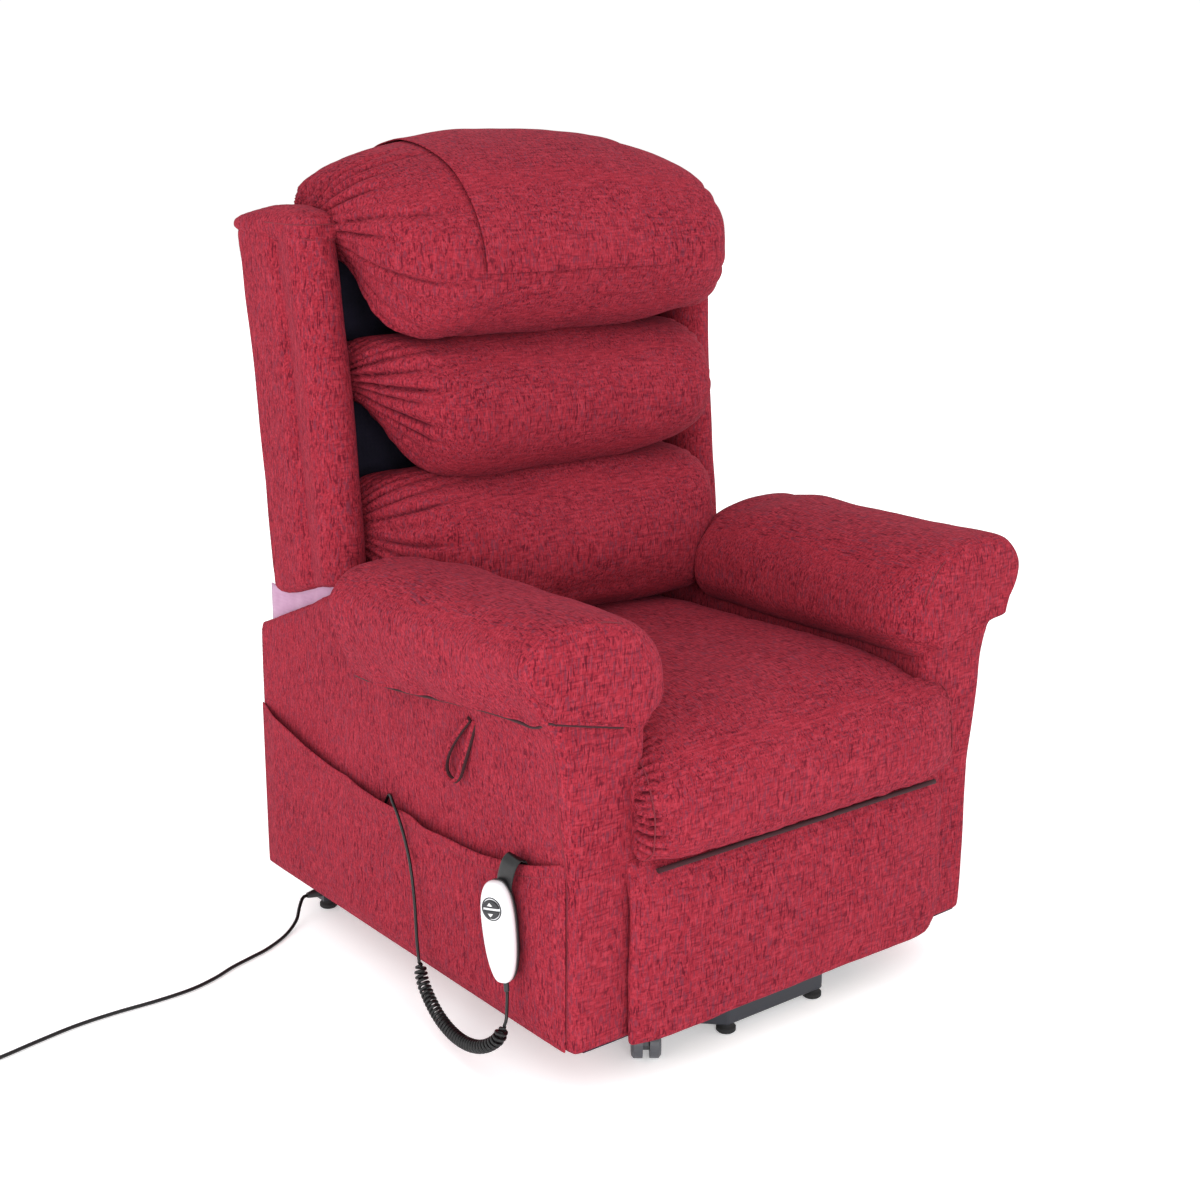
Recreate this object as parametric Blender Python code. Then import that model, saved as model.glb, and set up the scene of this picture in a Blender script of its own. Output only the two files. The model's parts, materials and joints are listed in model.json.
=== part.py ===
"""Lift recliner chair: steel lift base, upholstered chassis, reclining back and footrest, hand control.

Design axes: +X is the sitter's left, +Y the back, +Z up, metres. The design's y = 0 is the middle of
the arm boxes. Everything is parented to one empty, shifted so that the whole chair is centred on the
origin, with the glides on z = 0.
"""
import math

import bmesh
import bpy
from mathutils import Matrix, Vector

# ---- driving dimensions -------------------------------------------------------------------------
FRONT = -0.447            # front of the seat cushion
REAR = 0.400              # rear of the arm boxes
Y_SHIFT = -(FRONT + REAR) / 2
GAP = 0.0005              # air between pieces that touch
BODY_BOTTOM = 0.065       # lower edge of the upholstery
ARM_IN, ARM_OUT = 0.255, 0.370
ROLL_FRONT, ROLL_REAR = -0.400, 0.098
ROLL_BOTTOM = 0.4665      # the arm pads sit on the arm boxes here
# (y, width share, height share) of the arm pad's section, front to rear
ROLL_STATIONS = ((ROLL_FRONT, 0.985, 0.985), (-0.392, 1, 1), (0.020, 1, 0.97), (0.065, 0.93, 0.88),
                 (ROLL_REAR, 0.70, 0.62))
COVER = 0.003             # thickness of the loose covers
SEAT_TOP = 0.486
SEAT_BOTTOM = 0.333
LINK = 0.0105             # half the width of a flat link
PIN, HOLE = 0.0050, 0.0056

# pivots, (y, z)
LIFT_PIVOT = (-0.220, 0.095)
CHASSIS_PIVOT = (0.160, 0.115)
STAY_PIVOT = (-0.376, 0.090)
STAY_END = (-0.200, 0.130)
MOTOR_PIVOT = (0.300, 0.100)
ROD_END = (-0.130, 0.145)
CARRIER_PIVOT = (-0.050, 0.310)
OTTOMAN_PIVOT = (-0.0295, 0.076)
FOOTREST_PIVOT = (-0.365, 0.280)
BACK_PIVOT = (0.300, 0.360)

# planes of the flat links, (inner x, outer x)
LIFT_X = (0.190, 0.198)
STAY_X = (0.211, 0.217)
CARRIER_X = (0.177, 0.183)
OTTOMAN_X = (0.168, 0.174)
FOOT_BRACKET_X = (0.159, 0.165)
BACK_BRACKET_X = (0.233, 0.239)
RAIL_X = (0.2035, 0.2545)

# the back: its board leans back by BACK_LEAN metres of y for each metre of z
BACK_LEAN = 0.10
BOARD_Y0, BOARD_Z0 = 0.262, 0.450

# base tubes
SIDE_TUBE_X = 0.125
CROSSBAR_Y, CROSSBAR_HALF = 0.316, 0.327
FRONT_BAR_Y = -0.372
CASTOR_PIVOT = (0.200, -0.337)
CASTOR_TRAIL = 0.028
WHEEL_RADIUS = 0.021

# hand control
HANDSET_X = -0.3840       # its back face
HANDSET_Y, HANDSET_Z = -0.287, 0.2125
HANDSET_TILT = math.radians(9)
HANDSET_LENGTH, HANDSET_WIDTH = 0.136, 0.050
BACK_SHELL, FRONT_SHELL = 0.011, 0.016

# cords
MAINS_RADIUS = 0.00275
CURLY_WIRE_RADIUS = 0.00225
CURL_RADIUS = 0.0095
COIL_CENTRE = (-0.990, 0.118)
COIL_INNER, COIL_OUTER, COIL_HEIGHT = 0.0220, 0.0425, 0.0180


def clear_scene():
    for item in list(bpy.data.objects):
        bpy.data.objects.remove(item)


clear_scene()
ORIGIN = bpy.data.objects.new("chair_origin", None)
ORIGIN.location = (0, Y_SHIFT, 0)
bpy.context.scene.collection.objects.link(ORIGIN)


# ---- materials ----------------------------------------------------------------------------------
def material(name, colour, roughness, metallic=0.0):
    made = bpy.data.materials.new(name)
    made.use_nodes = True
    shader = made.node_tree.nodes["Principled BSDF"]
    shader.inputs["Base Color"].default_value = (*colour, 1)
    shader.inputs["Roughness"].default_value = roughness
    shader.inputs["Metallic"].default_value = metallic
    return made


CHENILLE = material("crimson_chenille", (0.36, 0.025, 0.045), 0.9)
LINING = material("dark_lining", (0.02, 0.022, 0.035), 0.85)
STEEL = material("black_steel", (0.03, 0.032, 0.04), 0.45, 0.3)
BRIGHT = material("bright_rod", (0.7, 0.7, 0.72), 0.25, 1.0)
WOOD = material("frame_timber", (0.45, 0.32, 0.2), 0.7)
RUBBER = material("black_rubber", (0.02, 0.02, 0.02), 0.7)
GREY = material("grey_wheel", (0.2, 0.2, 0.21), 0.5)
WHITE = material("white_shell", (0.85, 0.85, 0.84), 0.3)
CHARCOAL = material("charcoal_shell", (0.05, 0.05, 0.055), 0.45)
CABLE = material("black_cable", (0.012, 0.012, 0.013), 0.4)


# ---- making things ------------------------------------------------------------------------------
def place(name, mesh, surface):
    item = bpy.data.objects.new(name, mesh)
    mesh.materials.append(surface)
    item.parent = ORIGIN
    bpy.context.scene.collection.objects.link(item)
    return item


def from_bmesh(name, shape, surface, smooth_angle=None):
    bmesh.ops.recalc_face_normals(shape, faces=shape.faces)
    mesh = bpy.data.meshes.new(name)
    shape.to_mesh(mesh)
    shape.free()
    if smooth_angle:
        mesh.shade_smooth()
        mesh.set_sharp_from_angle(angle=math.radians(smooth_angle))
    return place(name, mesh, surface)


def bevel(item, width, segments=2):
    made = item.modifiers.new("edges", "BEVEL")
    made.width = width
    made.segments = segments
    made.limit_method = "ANGLE"
    return item


def combine(item, tool, operation):
    """Joins or cuts item with tool, which is then only a guide."""
    made = item.modifiers.new(operation.lower(), "BOOLEAN")
    made.operation = operation
    made.object = tool
    made.solver = "EXACT"
    tool.hide_render = True
    tool.display_type = "WIRE"
    return item


def union(item, tool):
    return combine(item, tool, "UNION")


def cut(item, tool):
    return combine(item, tool, "DIFFERENCE")


def box(name, low, high, surface=STEEL):
    """An upright block between two corners."""
    low, high = Vector(low), Vector(high)
    shape = bmesh.new()
    bmesh.ops.create_cube(shape, size=1)
    bmesh.ops.scale(shape, vec=high - low, verts=shape.verts)
    bmesh.ops.translate(shape, vec=(low + high) / 2, verts=shape.verts)
    return from_bmesh(name, shape, surface)


AXES = {
    "x": lambda a, b, t: (t, a, b),
    "y": lambda a, b, t: (a, t, b),
    "z": lambda a, b, t: (a, b, t),
}


def prism(name, outline, axis, start, end, surface=STEEL, smooth_angle=None):
    """A flat outline in the other two axes, drawn out along axis from start to end."""
    at = AXES[axis]
    shape = bmesh.new()
    face = shape.faces.new([shape.verts.new(at(a, b, start)) for a, b in outline])
    drawn = bmesh.ops.extrude_face_region(shape, geom=[face])["geom"]
    moved = [v for v in drawn if isinstance(v, bmesh.types.BMVert)]
    bmesh.ops.translate(shape, vec=at(0, 0, end - start), verts=moved)
    return from_bmesh(name, shape, surface, smooth_angle)


def rod(name, start, end, radius, surface=STEEL, sides=16):
    """A round bar between two points."""
    start, end = Vector(start), Vector(end)
    shape = bmesh.new()
    bmesh.ops.create_cone(
        shape, cap_ends=True, segments=sides, radius1=radius, radius2=radius, depth=(end - start).length
    )
    turn = (end - start).to_track_quat("Z", "Y").to_matrix().to_4x4()
    bmesh.ops.transform(shape, matrix=Matrix.Translation((start + end) / 2) @ turn, verts=shape.verts)
    return from_bmesh(name, shape, surface, 40)


def turned(name, profile, centre, axis, surface, sides=24):
    """A closed profile of (radius, height) points, spun about an axis through centre."""
    shape = bmesh.new()
    rings = []
    for radius, height in profile:
        if radius == 0:
            rings.append([shape.verts.new((0, 0, height))])
            continue
        angles = [2 * math.pi * i / sides for i in range(sides)]
        rings.append([shape.verts.new((radius * math.cos(a), radius * math.sin(a),
                                       height)) for a in angles])
    closed = rings if profile[0][0] == 0 and profile[-1][0] == 0 else rings + [rings[0]]
    for lower, upper in zip(closed, closed[1:]):
        for i in range(sides):
            j = (i + 1) % sides
            corners = [lower[i % len(lower)], lower[j % len(lower)], upper[j % len(upper)],
                       upper[i % len(upper)]]
            kept = list(dict.fromkeys(corners))
            shape.faces.new(kept)
    turn = Vector(axis).to_track_quat("Z", "Y").to_matrix().to_4x4()
    bmesh.ops.transform(shape, matrix=Matrix.Translation(centre) @ turn, verts=shape.verts)
    return from_bmesh(name, shape, surface, 40)


def arc(centre, radius, start, end, count):
    """Points along an arc, angles in degrees."""
    steps = [math.radians(start + (end - start) * i / (count - 1)) for i in range(count)]
    return [(centre[0] + radius * math.cos(t), centre[1] + radius * math.sin(t)) for t in steps]


def link_outline(a, b, half=LINK):
    """A flat bar with round ends from pivot a to pivot b."""
    lean = math.degrees(math.atan2(b[1] - a[1], b[0] - a[0]))
    return arc(b, half, lean - 90, lean + 90, 7) + arc(a, half, lean + 90, lean + 270, 7)


def flat_link(name, a, b, planes, side, holes, surface=STEEL):
    """A link between two pivots (y, z), with a hole at each pivot in holes."""
    start, end = sorted((side * planes[0], side * planes[1]))
    item = prism(name, link_outline(a, b), "x", start, end, surface)
    for i, (y, z) in enumerate(holes):
        tool = rod(f"{name}_hole_{i}", (start - 0.01, y, z), (end + 0.01, y, z), HOLE, surface, 12)
        cut(item, tool)
    return item


def pin(item, pivot, start, end, side):
    """Joins a pivot pin along x to item."""
    y, z = pivot
    tool = rod(f"{item.name}_pin_{len(item.modifiers)}", (side * start, y, z), (side * end, y, z), PIN,
               STEEL, 12)
    return union(item, tool)


def smooth(points, pieces, closed=False):
    """A Catmull-Rom curve through points, each span in so many pieces."""
    points = [Vector(p) for p in points]
    count = len(points)
    spans = count if closed else count - 1
    out = []
    for i in range(spans):
        if closed:
            p0, p1, p2, p3 = (points[(i + k - 1) % count] for k in range(4))
        else:
            p0, p1, p2, p3 = (points[min(max(i + k - 1, 0), count - 1)] for k in range(4))
        for k in range(pieces):
            t = k / pieces
            out.append(
                0.5 * (2 * p1 + (p2 - p0) * t + (2 * p0 - 5 * p1 + 4 * p2 - p3) * t**2
                       + (3 * p1 - p0 - 3 * p2 + p3) * t**3)
            )
    return out if closed else out + [points[-1]]


def loft_x(name, outline, stations, surface, smooth_angle=60):
    """A closed (y, z) outline carried along x. A station is (x, scale, y shift, z shift) about the
    outline's middle."""
    middle = sum((Vector(p) for p in outline), Vector((0, 0))) / len(outline)
    shape = bmesh.new()
    rings = []
    for x, scale, dy, dz in stations:
        ring = [middle + (Vector(p) - middle) * scale for p in outline]
        rings.append([shape.verts.new((x, p.x + dy, p.y + dz)) for p in ring])
    for first, second in zip(rings, rings[1:]):
        for i in range(len(outline)):
            j = (i + 1) % len(outline)
            shape.faces.new((first[i], first[j], second[j], second[i]))
    shape.faces.new(rings[0])
    shape.faces.new(rings[-1])
    return from_bmesh(name, shape, surface, smooth_angle)


def mirrored(stations):
    """Stations for x >= 0, repeated for x < 0."""
    return [(-x, scale, dy, dz) for x, scale, dy, dz in reversed(stations) if x > 0] + stations


def cord(name, points, radius, surface=CABLE, resolution=2):
    """A tube through points, already sampled from a smooth curve."""
    line = bpy.data.curves.new(name, "CURVE")
    line.dimensions = "3D"
    line.bevel_depth = radius
    line.bevel_resolution = resolution
    line.use_fill_caps = True
    line.render_resolution_u = 0
    spline = line.splines.new("POLY")
    spline.points.add(len(points) - 1)
    for place_at, point in zip(spline.points, points):
        place_at.co = (*point, 1)
    return place(name, line, surface)


def side_name(side):
    return "left" if side > 0 else "right"


# ---- the base on the floor ----------------------------------------------------------------------
TUBE = 0.0125             # half a base tube's width
FRONT_BAR_BOTTOM, CROSSBAR_BOTTOM = 0.014, 0.016
SIDE_TUBE_Z = (0.020, 0.058)
PLATE_Z = (0.052, 0.058)


def front_bar():
    """Straight between the feet, with its ends cranked back to the side tubes."""
    middle, bend = 0.085, 0.040
    centres = [(-SIDE_TUBE_X, -0.3187), (-SIDE_TUBE_X, FRONT_BAR_Y + bend), (-middle, FRONT_BAR_Y)]
    centres += [(-x, y) for x, y in reversed(centres)]
    slope = math.tan(math.radians(22.5)) * TUBE
    offsets = [(TUBE, 0), (TUBE, slope), (slope, TUBE)]
    outer = []
    inner = []
    for i, (x, y) in enumerate(centres):
        dx, dy = offsets[min(i, 5 - i)]
        turn = -1 if x < 0 else 1
        outer.append((x + turn * dx, y - dy))
        inner.append((x - turn * dx, y + dy))
    top = FRONT_BAR_BOTTOM + 2 * TUBE
    bar = prism("front_bar", outer + list(reversed(inner)), "z", FRONT_BAR_BOTTOM, top)
    return bevel(bar, 0.002, 1)


def side_tube(side):
    """Side tube with the castor plate and the two upright pivot plates in front."""
    x = side * SIDE_TUBE_X
    name = f"base_side_tube_{side_name(side)}"
    low_z, high_z = SIDE_TUBE_Z
    tube = box(name, (x - TUBE, -0.3180, low_z), (x + TUBE, CROSSBAR_Y - TUBE - GAP, high_z))
    plate_x = sorted((side * 0.113, side * 0.222))
    plate = box(f"{name}_plate", (plate_x[0], -0.3865, PLATE_Z[0]), (plate_x[1], -0.196, high_z))
    union(tube, plate)
    for pivot, planes, reach in (
        (LIFT_PIVOT, (0.1995, 0.2055), LIFT_X[0] + 0.001),
        (STAY_PIVOT, (0.2030, 0.2090), STAY_X[1]),
    ):
        y, z = pivot
        outline = [(y - LINK, PLATE_Z[0]), (y + LINK, PLATE_Z[0])] + arc(pivot, LINK, 0, 180, 7)
        start, end = sorted((side * planes[0], side * planes[1]))
        union(tube, prism(f"{name}_upright_{reach}", outline, "x", start, end))
        root = planes[1] - 0.001 if reach < planes[0] else planes[0] + 0.001
        pin(tube, pivot, root, reach, side)
    return tube


def rear_crossbar():
    """Rear tube with the motor's clevis standing on it."""
    bottom = CROSSBAR_BOTTOM
    half = CROSSBAR_HALF
    bar = box("rear_crossbar", (-half, CROSSBAR_Y - TUBE, bottom),
              (half, CROSSBAR_Y + TUBE, bottom + 2 * TUBE))
    y, z = MOTOR_PIVOT
    outline = [(y - 0.010, bottom + 0.02), (y + 0.024, bottom + 0.02), (y + 0.0105, z)] + arc(MOTOR_PIVOT,
                                                            LINK, 30, 180, 6)
    for side in (-1, 1):
        start, end = sorted((side * 0.0125, side * 0.0185))
        union(bar, prism(f"crossbar_ear_{side_name(side)}", outline, "x", start, end))
    return union(bar, rod("crossbar_pin", (-0.0150, y, z), (0.0150, y, z), PIN, STEEL, 12))


def glide(name, x, y, height):
    """Round floor glide."""
    foot = 0.014
    return turned(
        name,
        [(0, 0), (foot - 0.002, 0), (foot, 0.002), (foot, 0.007), (foot - 0.003, 0.010), (0.009, height),
         (0, height)],
        (x, y, 0), (0, 0, 1), RUBBER, 20,
    )


def castor(side):
    """Twin-wheel castor: a swivelling hub and one wheel set on its own axle."""
    name = side_name(side)
    px, py = side * CASTOR_PIVOT[0], CASTOR_PIVOT[1]
    heading = Vector((-0.6, -0.8, 0)) if side < 0 else Vector((0.25, 0.968, 0))
    heading.normalize()
    across = Vector((heading.y, -heading.x, 0))
    pivot = Vector((px, py, 0))
    axle = pivot + heading * CASTOR_TRAIL + Vector((0, 0, WHEEL_RADIUS + 0.0004))
    top, neck = PLATE_Z[0] - GAP, 0.0465
    hub = turned(
        f"castor_hub_{name}", [(0, neck), (0.012, neck), (0.012, top), (0, top)], pivot, (0, 0,
                                                            1), STEEL, 16
    )
    half = 0.004
    along = [(0.006, neck + 0.001), (-0.012, neck + 0.001), (-0.012, 0.040), (CASTOR_TRAIL - 0.010, 0.014)]
    along += arc((CASTOR_TRAIL, WHEEL_RADIUS), 0.010, -60, 60, 5)
    shape = bmesh.new()
    faces = []
    for offset in (-half, half):
        ring = [shape.verts.new(pivot + heading * u + across * offset + Vector((0, 0, z))) for u,
                z in along]
        faces.append(ring)
        shape.faces.new(ring)
    for i in range(len(along)):
        j = (i + 1) % len(along)
        shape.faces.new((faces[0][i], faces[0][j], faces[1][j], faces[1][i]))
    union(hub, from_bmesh(f"castor_web_{name}", shape, STEEL))
    cut(hub, rod(f"castor_bore_{name}", axle - across * 0.02, axle + across * 0.02, 0.0040, STEEL, 12))
    inner, outer, shaft = half + 0.0008, 0.020, 0.0034
    wheel = [(0, -outer), (0.017, -outer), (WHEEL_RADIUS, -outer + 0.003), (WHEEL_RADIUS, -inner),
             (shaft, -inner)]
    wheel += [(r, -h) for r, h in reversed(wheel)]
    turned(f"castor_wheels_{name}", wheel, axle, across, GREY, 24)


def mains_gland():
    """Tapered strain relief on the crossbar's end, where the mains cord leaves."""
    x = -CROSSBAR_HALF - GAP
    return turned(
        "mains_gland",
        [(0, 0), (0.0075, 0), (0.0075, 0.004), (0.0045, 0.022), (0, 0.022)],
        (x, CROSSBAR_Y, 0.0285), (-1, 0, 0), RUBBER, 16,
    )


def base():
    front_bar()
    rear_crossbar()
    for side in (-1, 1):
        side_tube(side)
        castor(side)
        name = side_name(side)
        glide(f"front_glide_{name}", side * 0.083, FRONT_BAR_Y, FRONT_BAR_BOTTOM - GAP)
        glide(f"rear_glide_{name}", side * 0.312, CROSSBAR_Y, CROSSBAR_BOTTOM - GAP)
    mains_gland()


# ---- the lift -----------------------------------------------------------------------------------
def lift():
    for side in (-1, 1):
        name = side_name(side)
        flat_link(f"lift_arm_{name}", LIFT_PIVOT, CHASSIS_PIVOT, LIFT_X, side, (LIFT_PIVOT, CHASSIS_PIVOT))
        flat_link(f"lift_stay_{name}", STAY_PIVOT, STAY_END, STAY_X, side, (STAY_PIVOT, STAY_END))
    lift_cross_tube()
    actuator()


def lift_cross_tube():
    """Torque tube between the lift arms, with the two ears that the rod pushes."""
    y, z = LIFT_PIVOT
    reach = LIFT_X[0] - GAP
    tube = rod("lift_cross_tube", (-reach, y, z), (reach, y, z), 0.0125)
    for side in (-1, 1):
        start, end = sorted((side * 0.0135, side * 0.0195))
        union(tube, prism(f"lift_ear_{side_name(side)}", link_outline(LIFT_PIVOT, ROD_END), "x", start,
                          end))
    return tube


def actuator():
    """Motor housing with its hollow guide tube, and the rod that slides in it."""
    tail, tip = Vector((0, *MOTOR_PIVOT)), Vector((0, *ROD_END))
    along = (tip - tail).normalized()
    length = (tip - tail).length
    bore, wall, mouth, depth = 0.0108, 0.0180, 0.300, 0.080
    motor = turned(
        "lift_motor",
        [(0, 0.030), (wall, 0.030), (wall, mouth), (bore, mouth), (bore, depth), (0, depth)],
        tail, along, CHARCOAL, 20,
    )
    housing = box("motor_housing", (-0.030, 0.190, 0.066), (0.030, 0.272, 0.148), CHARCOAL)
    union(motor, bevel(housing, 0.006, 2))
    eye = prism("motor_eye", link_outline(MOTOR_PIVOT, (0.262, 0.104)), "x", -0.0115, 0.0115, CHARCOAL)
    union(motor, eye)
    y, z = MOTOR_PIVOT
    cut(motor, rod("motor_eye_hole", (-0.03, y, z), (0.03, y, z), HOLE, CHARCOAL, 12))
    clear = turned("motor_bore_clear", [(0, depth), (bore, depth), (bore, mouth + 0.01), (0, mouth + 0.01)],
                   tail, along, CHARCOAL, 20)
    cut(motor, clear)
    shaft = turned(
        "lift_rod",
        [(0, 0.110), (0.0095, 0.110), (0.0095, length - 0.004), (0.006, length + 0.008),
         (0, length + 0.008)],
        tail, along, BRIGHT, 16,
    )
    return motor, shaft


# ---- the chassis --------------------------------------------------------------------------------
RAIL_Z = (0.265, 0.3205)


def seat_rail(side):
    """Timber-height seat rail with the plates that carry the chassis, stay, footrest and back pivots."""
    name = f"seat_rail_{side_name(side)}"
    start, end = sorted((side * RAIL_X[0], side * RAIL_X[1]))
    rail = box(name, (start, -0.375, RAIL_Z[0]), (end, 0.345, RAIL_Z[1]))
    plates = (
        (CHASSIS_PIVOT, (0.2035, 0.2095), 0.025, RAIL_Z[0] + 0.005, LIFT_X[0] + 0.001),
        (STAY_END, (0.2200, 0.2260), 0.020, RAIL_Z[0] + 0.005, None),
        (BACK_PIVOT, (0.2420, 0.2480), 0.022, RAIL_Z[1] - 0.005, BACK_BRACKET_X[0] + 0.0005),
    )
    for i, (pivot, planes, foot, joined_z, reach) in enumerate(plates):
        y, z = pivot
        up = 1 if joined_z < z else -1
        lobe = arc(pivot, LINK, 0, 180 * up, 7)
        outline = [(y - foot, joined_z), (y + foot, joined_z)] + lobe
        low, high = sorted((side * planes[0], side * planes[1]))
        union(rail, prism(f"{name}_plate_{i}", outline, "x", low, high))
        if reach:
            pin(rail, pivot, planes[0] + 0.001, reach, side)
    pin(rail, CARRIER_PIVOT, RAIL_X[0] + 0.002, CARRIER_X[0], side)
    return rail


def arm_roll_outline():
    """Cross-section (x, z) of the padded arm top, for the left arm."""
    points = [
        (0.262, 0.470), (0.226, 0.492), (0.2135, 0.527), (0.222, 0.574), (0.258, 0.611), (0.316, 0.628),
        (0.372, 0.632), (0.412, 0.626), (0.438, 0.604), (0.442, 0.578), (0.424, 0.537), (0.392, 0.497),
        (0.366, 0.470),
    ]
    return smooth(points, 2, closed=True)


def arm(side):
    """Arm box, padded roll on top of it, and the loose cover over the roll."""
    name = side_name(side)
    panel = [
        (ROLL_FRONT, BODY_BOTTOM), (REAR, BODY_BOTTOM), (REAR, 0.455), (0.150, 0.520), (0.140, 0.520),
        (0.140, 0.462), (ROLL_FRONT, 0.462),
    ]
    start, end = sorted((side * ARM_IN, side * ARM_OUT))
    bevel(prism(f"arm_box_{name}", panel, "x", start, end, CHENILLE), 0.006, 2)
    outline = [Vector((side * p.x, p.y)) for p in arm_roll_outline()]
    middle = Vector((side * 0.318, 0.530))
    shape = bmesh.new()
    rings = []
    for y, across, up in ROLL_STATIONS:
        ring = [((p.x - middle.x) * across + middle.x, (p.y - middle.y) * up + middle.y) for p in outline]
        rings.append([shape.verts.new((x, y, max(z, ROLL_BOTTOM))) for x, z in ring])
    for first, second in zip(rings, rings[1:]):
        for i in range(len(outline)):
            j = (i + 1) % len(outline)
            shape.faces.new((first[i], first[j], second[j], second[i]))
    shape.faces.new(rings[0])
    shape.faces.new(rings[-1])
    from_bmesh(f"arm_pad_{name}", shape, CHENILLE, 50)
    arm_cover(side, name)


def grown(outline, amount):
    """An outline in the (x, z) plane, each point moved out from the outline's middle line by amount."""
    count = len(outline)
    area = sum(outline[i][0] * outline[(i + 1) % count][1] - outline[(i + 1) % count][0] * outline[i][1]
               for i in range(count))
    turn = 1 if area > 0 else -1
    out = []
    for i in range(count):
        before, after = Vector(outline[i - 1]), Vector(outline[(i + 1) % count])
        along = (after - before).normalized()
        out.append((outline[i][0] + turn * along.y * amount, outline[i][1] - turn * along.x * amount))
    return out


def arm_cover(side, name):
    """Loose cap over the roll, open below and behind, closed in front."""
    rear, hem = 0.018, 0.506
    roll = [(side * p.x, p.y) for p in arm_roll_outline()]
    cover = prism(f"arm_cover_{name}", grown(roll, COVER + GAP), "y", ROLL_FRONT - COVER - GAP, rear,
                  CHENILLE, 50)
    cut(cover, prism(f"arm_cover_core_{name}", grown(roll, GAP), "y", ROLL_FRONT - GAP, rear + 0.02))
    low, high = sorted((side * 0.19, side * 0.46))
    return cut(cover, box(f"arm_cover_hem_{name}", (low, ROLL_FRONT - 0.02, 0.44),
                          (high, rear + 0.03, hem)))


POCKET_X = (-0.3826, -0.3786)
POCKET_Y = (-0.396, 0.392)
POCKET_Z = (0.068, 0.334)
POCKET_WALL = 0.008


def side_pocket():
    """Open-topped pocket along the right arm box, its top edge sagging in the middle."""
    low_y, high_y = POCKET_Y
    low_z, high_z = POCKET_Z
    sag = [(low_y, high_z), (-0.30, 0.303), (-0.19, 0.286), (-0.04, 0.286), (0.17, 0.296), (0.30, 0.318),
           (high_y, high_z)]
    edge = [tuple(p) for p in smooth(sag, 2)]
    outer = [(low_y, low_z)] + edge + [(high_y, low_z)]
    pocket = prism("side_pocket", outer, "x", POCKET_X[0], -ARM_OUT - GAP, CHENILLE)
    hollow = box("pocket_hollow", (POCKET_X[1], low_y + POCKET_WALL, low_z + POCKET_WALL),
                 (-0.36, high_y - POCKET_WALL, 0.40))
    return cut(pocket, hollow)


def pull_loop():
    """Fabric loop that hangs from under the arm cover on the right side."""
    centre = [(-0.206, 0.462), (-0.176, 0.415), (-0.148, 0.384), (-0.136, 0.376), (-0.130, 0.388),
              (-0.142, 0.420), (-0.172, 0.464)]
    line = smooth([(y, z) for y, z in centre], 3)
    x, half_wide, half_thick = -0.3765, 0.006, 0.0022
    shape = bmesh.new()
    rings = []
    for i, p in enumerate(line):
        before, after = line[max(i - 1, 0)], line[min(i + 1, len(line) - 1)]
        along = (after - before).normalized()
        side = Vector((-along.y, along.x)) * half_thick
        corners = [(x - half_wide, p + side), (x + half_wide - 0.0005, p + side),
                   (x + half_wide - 0.0005, p - side), (x - half_wide, p - side)]
        rings.append([shape.verts.new((cx, q.x, q.y)) for cx, q in corners])
    for first, second in zip(rings, rings[1:]):
        for i in range(4):
            shape.faces.new((first[i], first[(i + 1) % 4], second[(i + 1) % 4], second[i]))
    shape.faces.new(rings[0])
    shape.faces.new(rings[-1])
    return from_bmesh("pull_loop", shape, CHENILLE)


def seat_cushion():
    """Seat cushion with a crowned top and a waterfall front that hangs over the footrest."""
    half = ARM_IN - 0.0030
    profile = [
        (0.212, SEAT_BOTTOM), (0.216, 0.400), (0.205, 0.462), (0.100, 0.474), (-0.100, 0.484),
        (-0.250, SEAT_TOP), (-0.360, 0.478), (-0.420, 0.455), (-0.4465, 0.405), (-0.4465, 0.345),
        (-0.436, 0.308), (-0.412, 0.302), (-0.384, 0.318), (-0.376, SEAT_BOTTOM), (-0.200,
                                                            SEAT_BOTTOM), (0.000, SEAT_BOTTOM),
    ]
    middle_z = 0.39
    shape = bmesh.new()
    rings = []
    for x, drop, inset in ((-half, 0.036, 0.010), (-0.225, 0.016, 0.003), (-0.15, 0.004, 0), (0, 0, 0),
                           (0.15, 0.004, 0), (0.225, 0.016, 0.003), (half, 0.036, 0.010)):
        ring = []
        for y, z in profile:
            lower = drop if z > middle_z else 0
            shift = inset if y < -0.40 else 0
            ring.append(shape.verts.new((x, y + shift, z - lower)))
        rings.append(ring)
    for first, second in zip(rings, rings[1:]):
        for i in range(len(profile)):
            j = (i + 1) % len(profile)
            shape.faces.new((first[i], first[j], second[j], second[i]))
    shape.faces.new(rings[0])
    shape.faces.new(rings[-1])
    return from_bmesh("seat_cushion", shape, CHENILLE, 50)


def chassis():
    for side in (-1, 1):
        seat_rail(side)
        arm(side)
    reach = RAIL_X[0] - GAP
    box("seat_front_bar", (-reach, -0.370, 0.297), (reach, -0.345, RAIL_Z[1]), WOOD)
    box("seat_deck", (-reach, -0.372, RAIL_Z[1] + 0.0015), (reach, 0.215, RAIL_Z[1] + 0.0105), LINING)
    wide = ARM_IN - 0.001
    bevel(box("rear_lower_panel", (-wide, REAR - 0.014, BODY_BOTTOM + 0.004), (wide, REAR - 0.002, 0.250),
              CHENILLE), 0.002, 1)
    side_pocket()
    pull_loop()
    seat_cushion()


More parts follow.
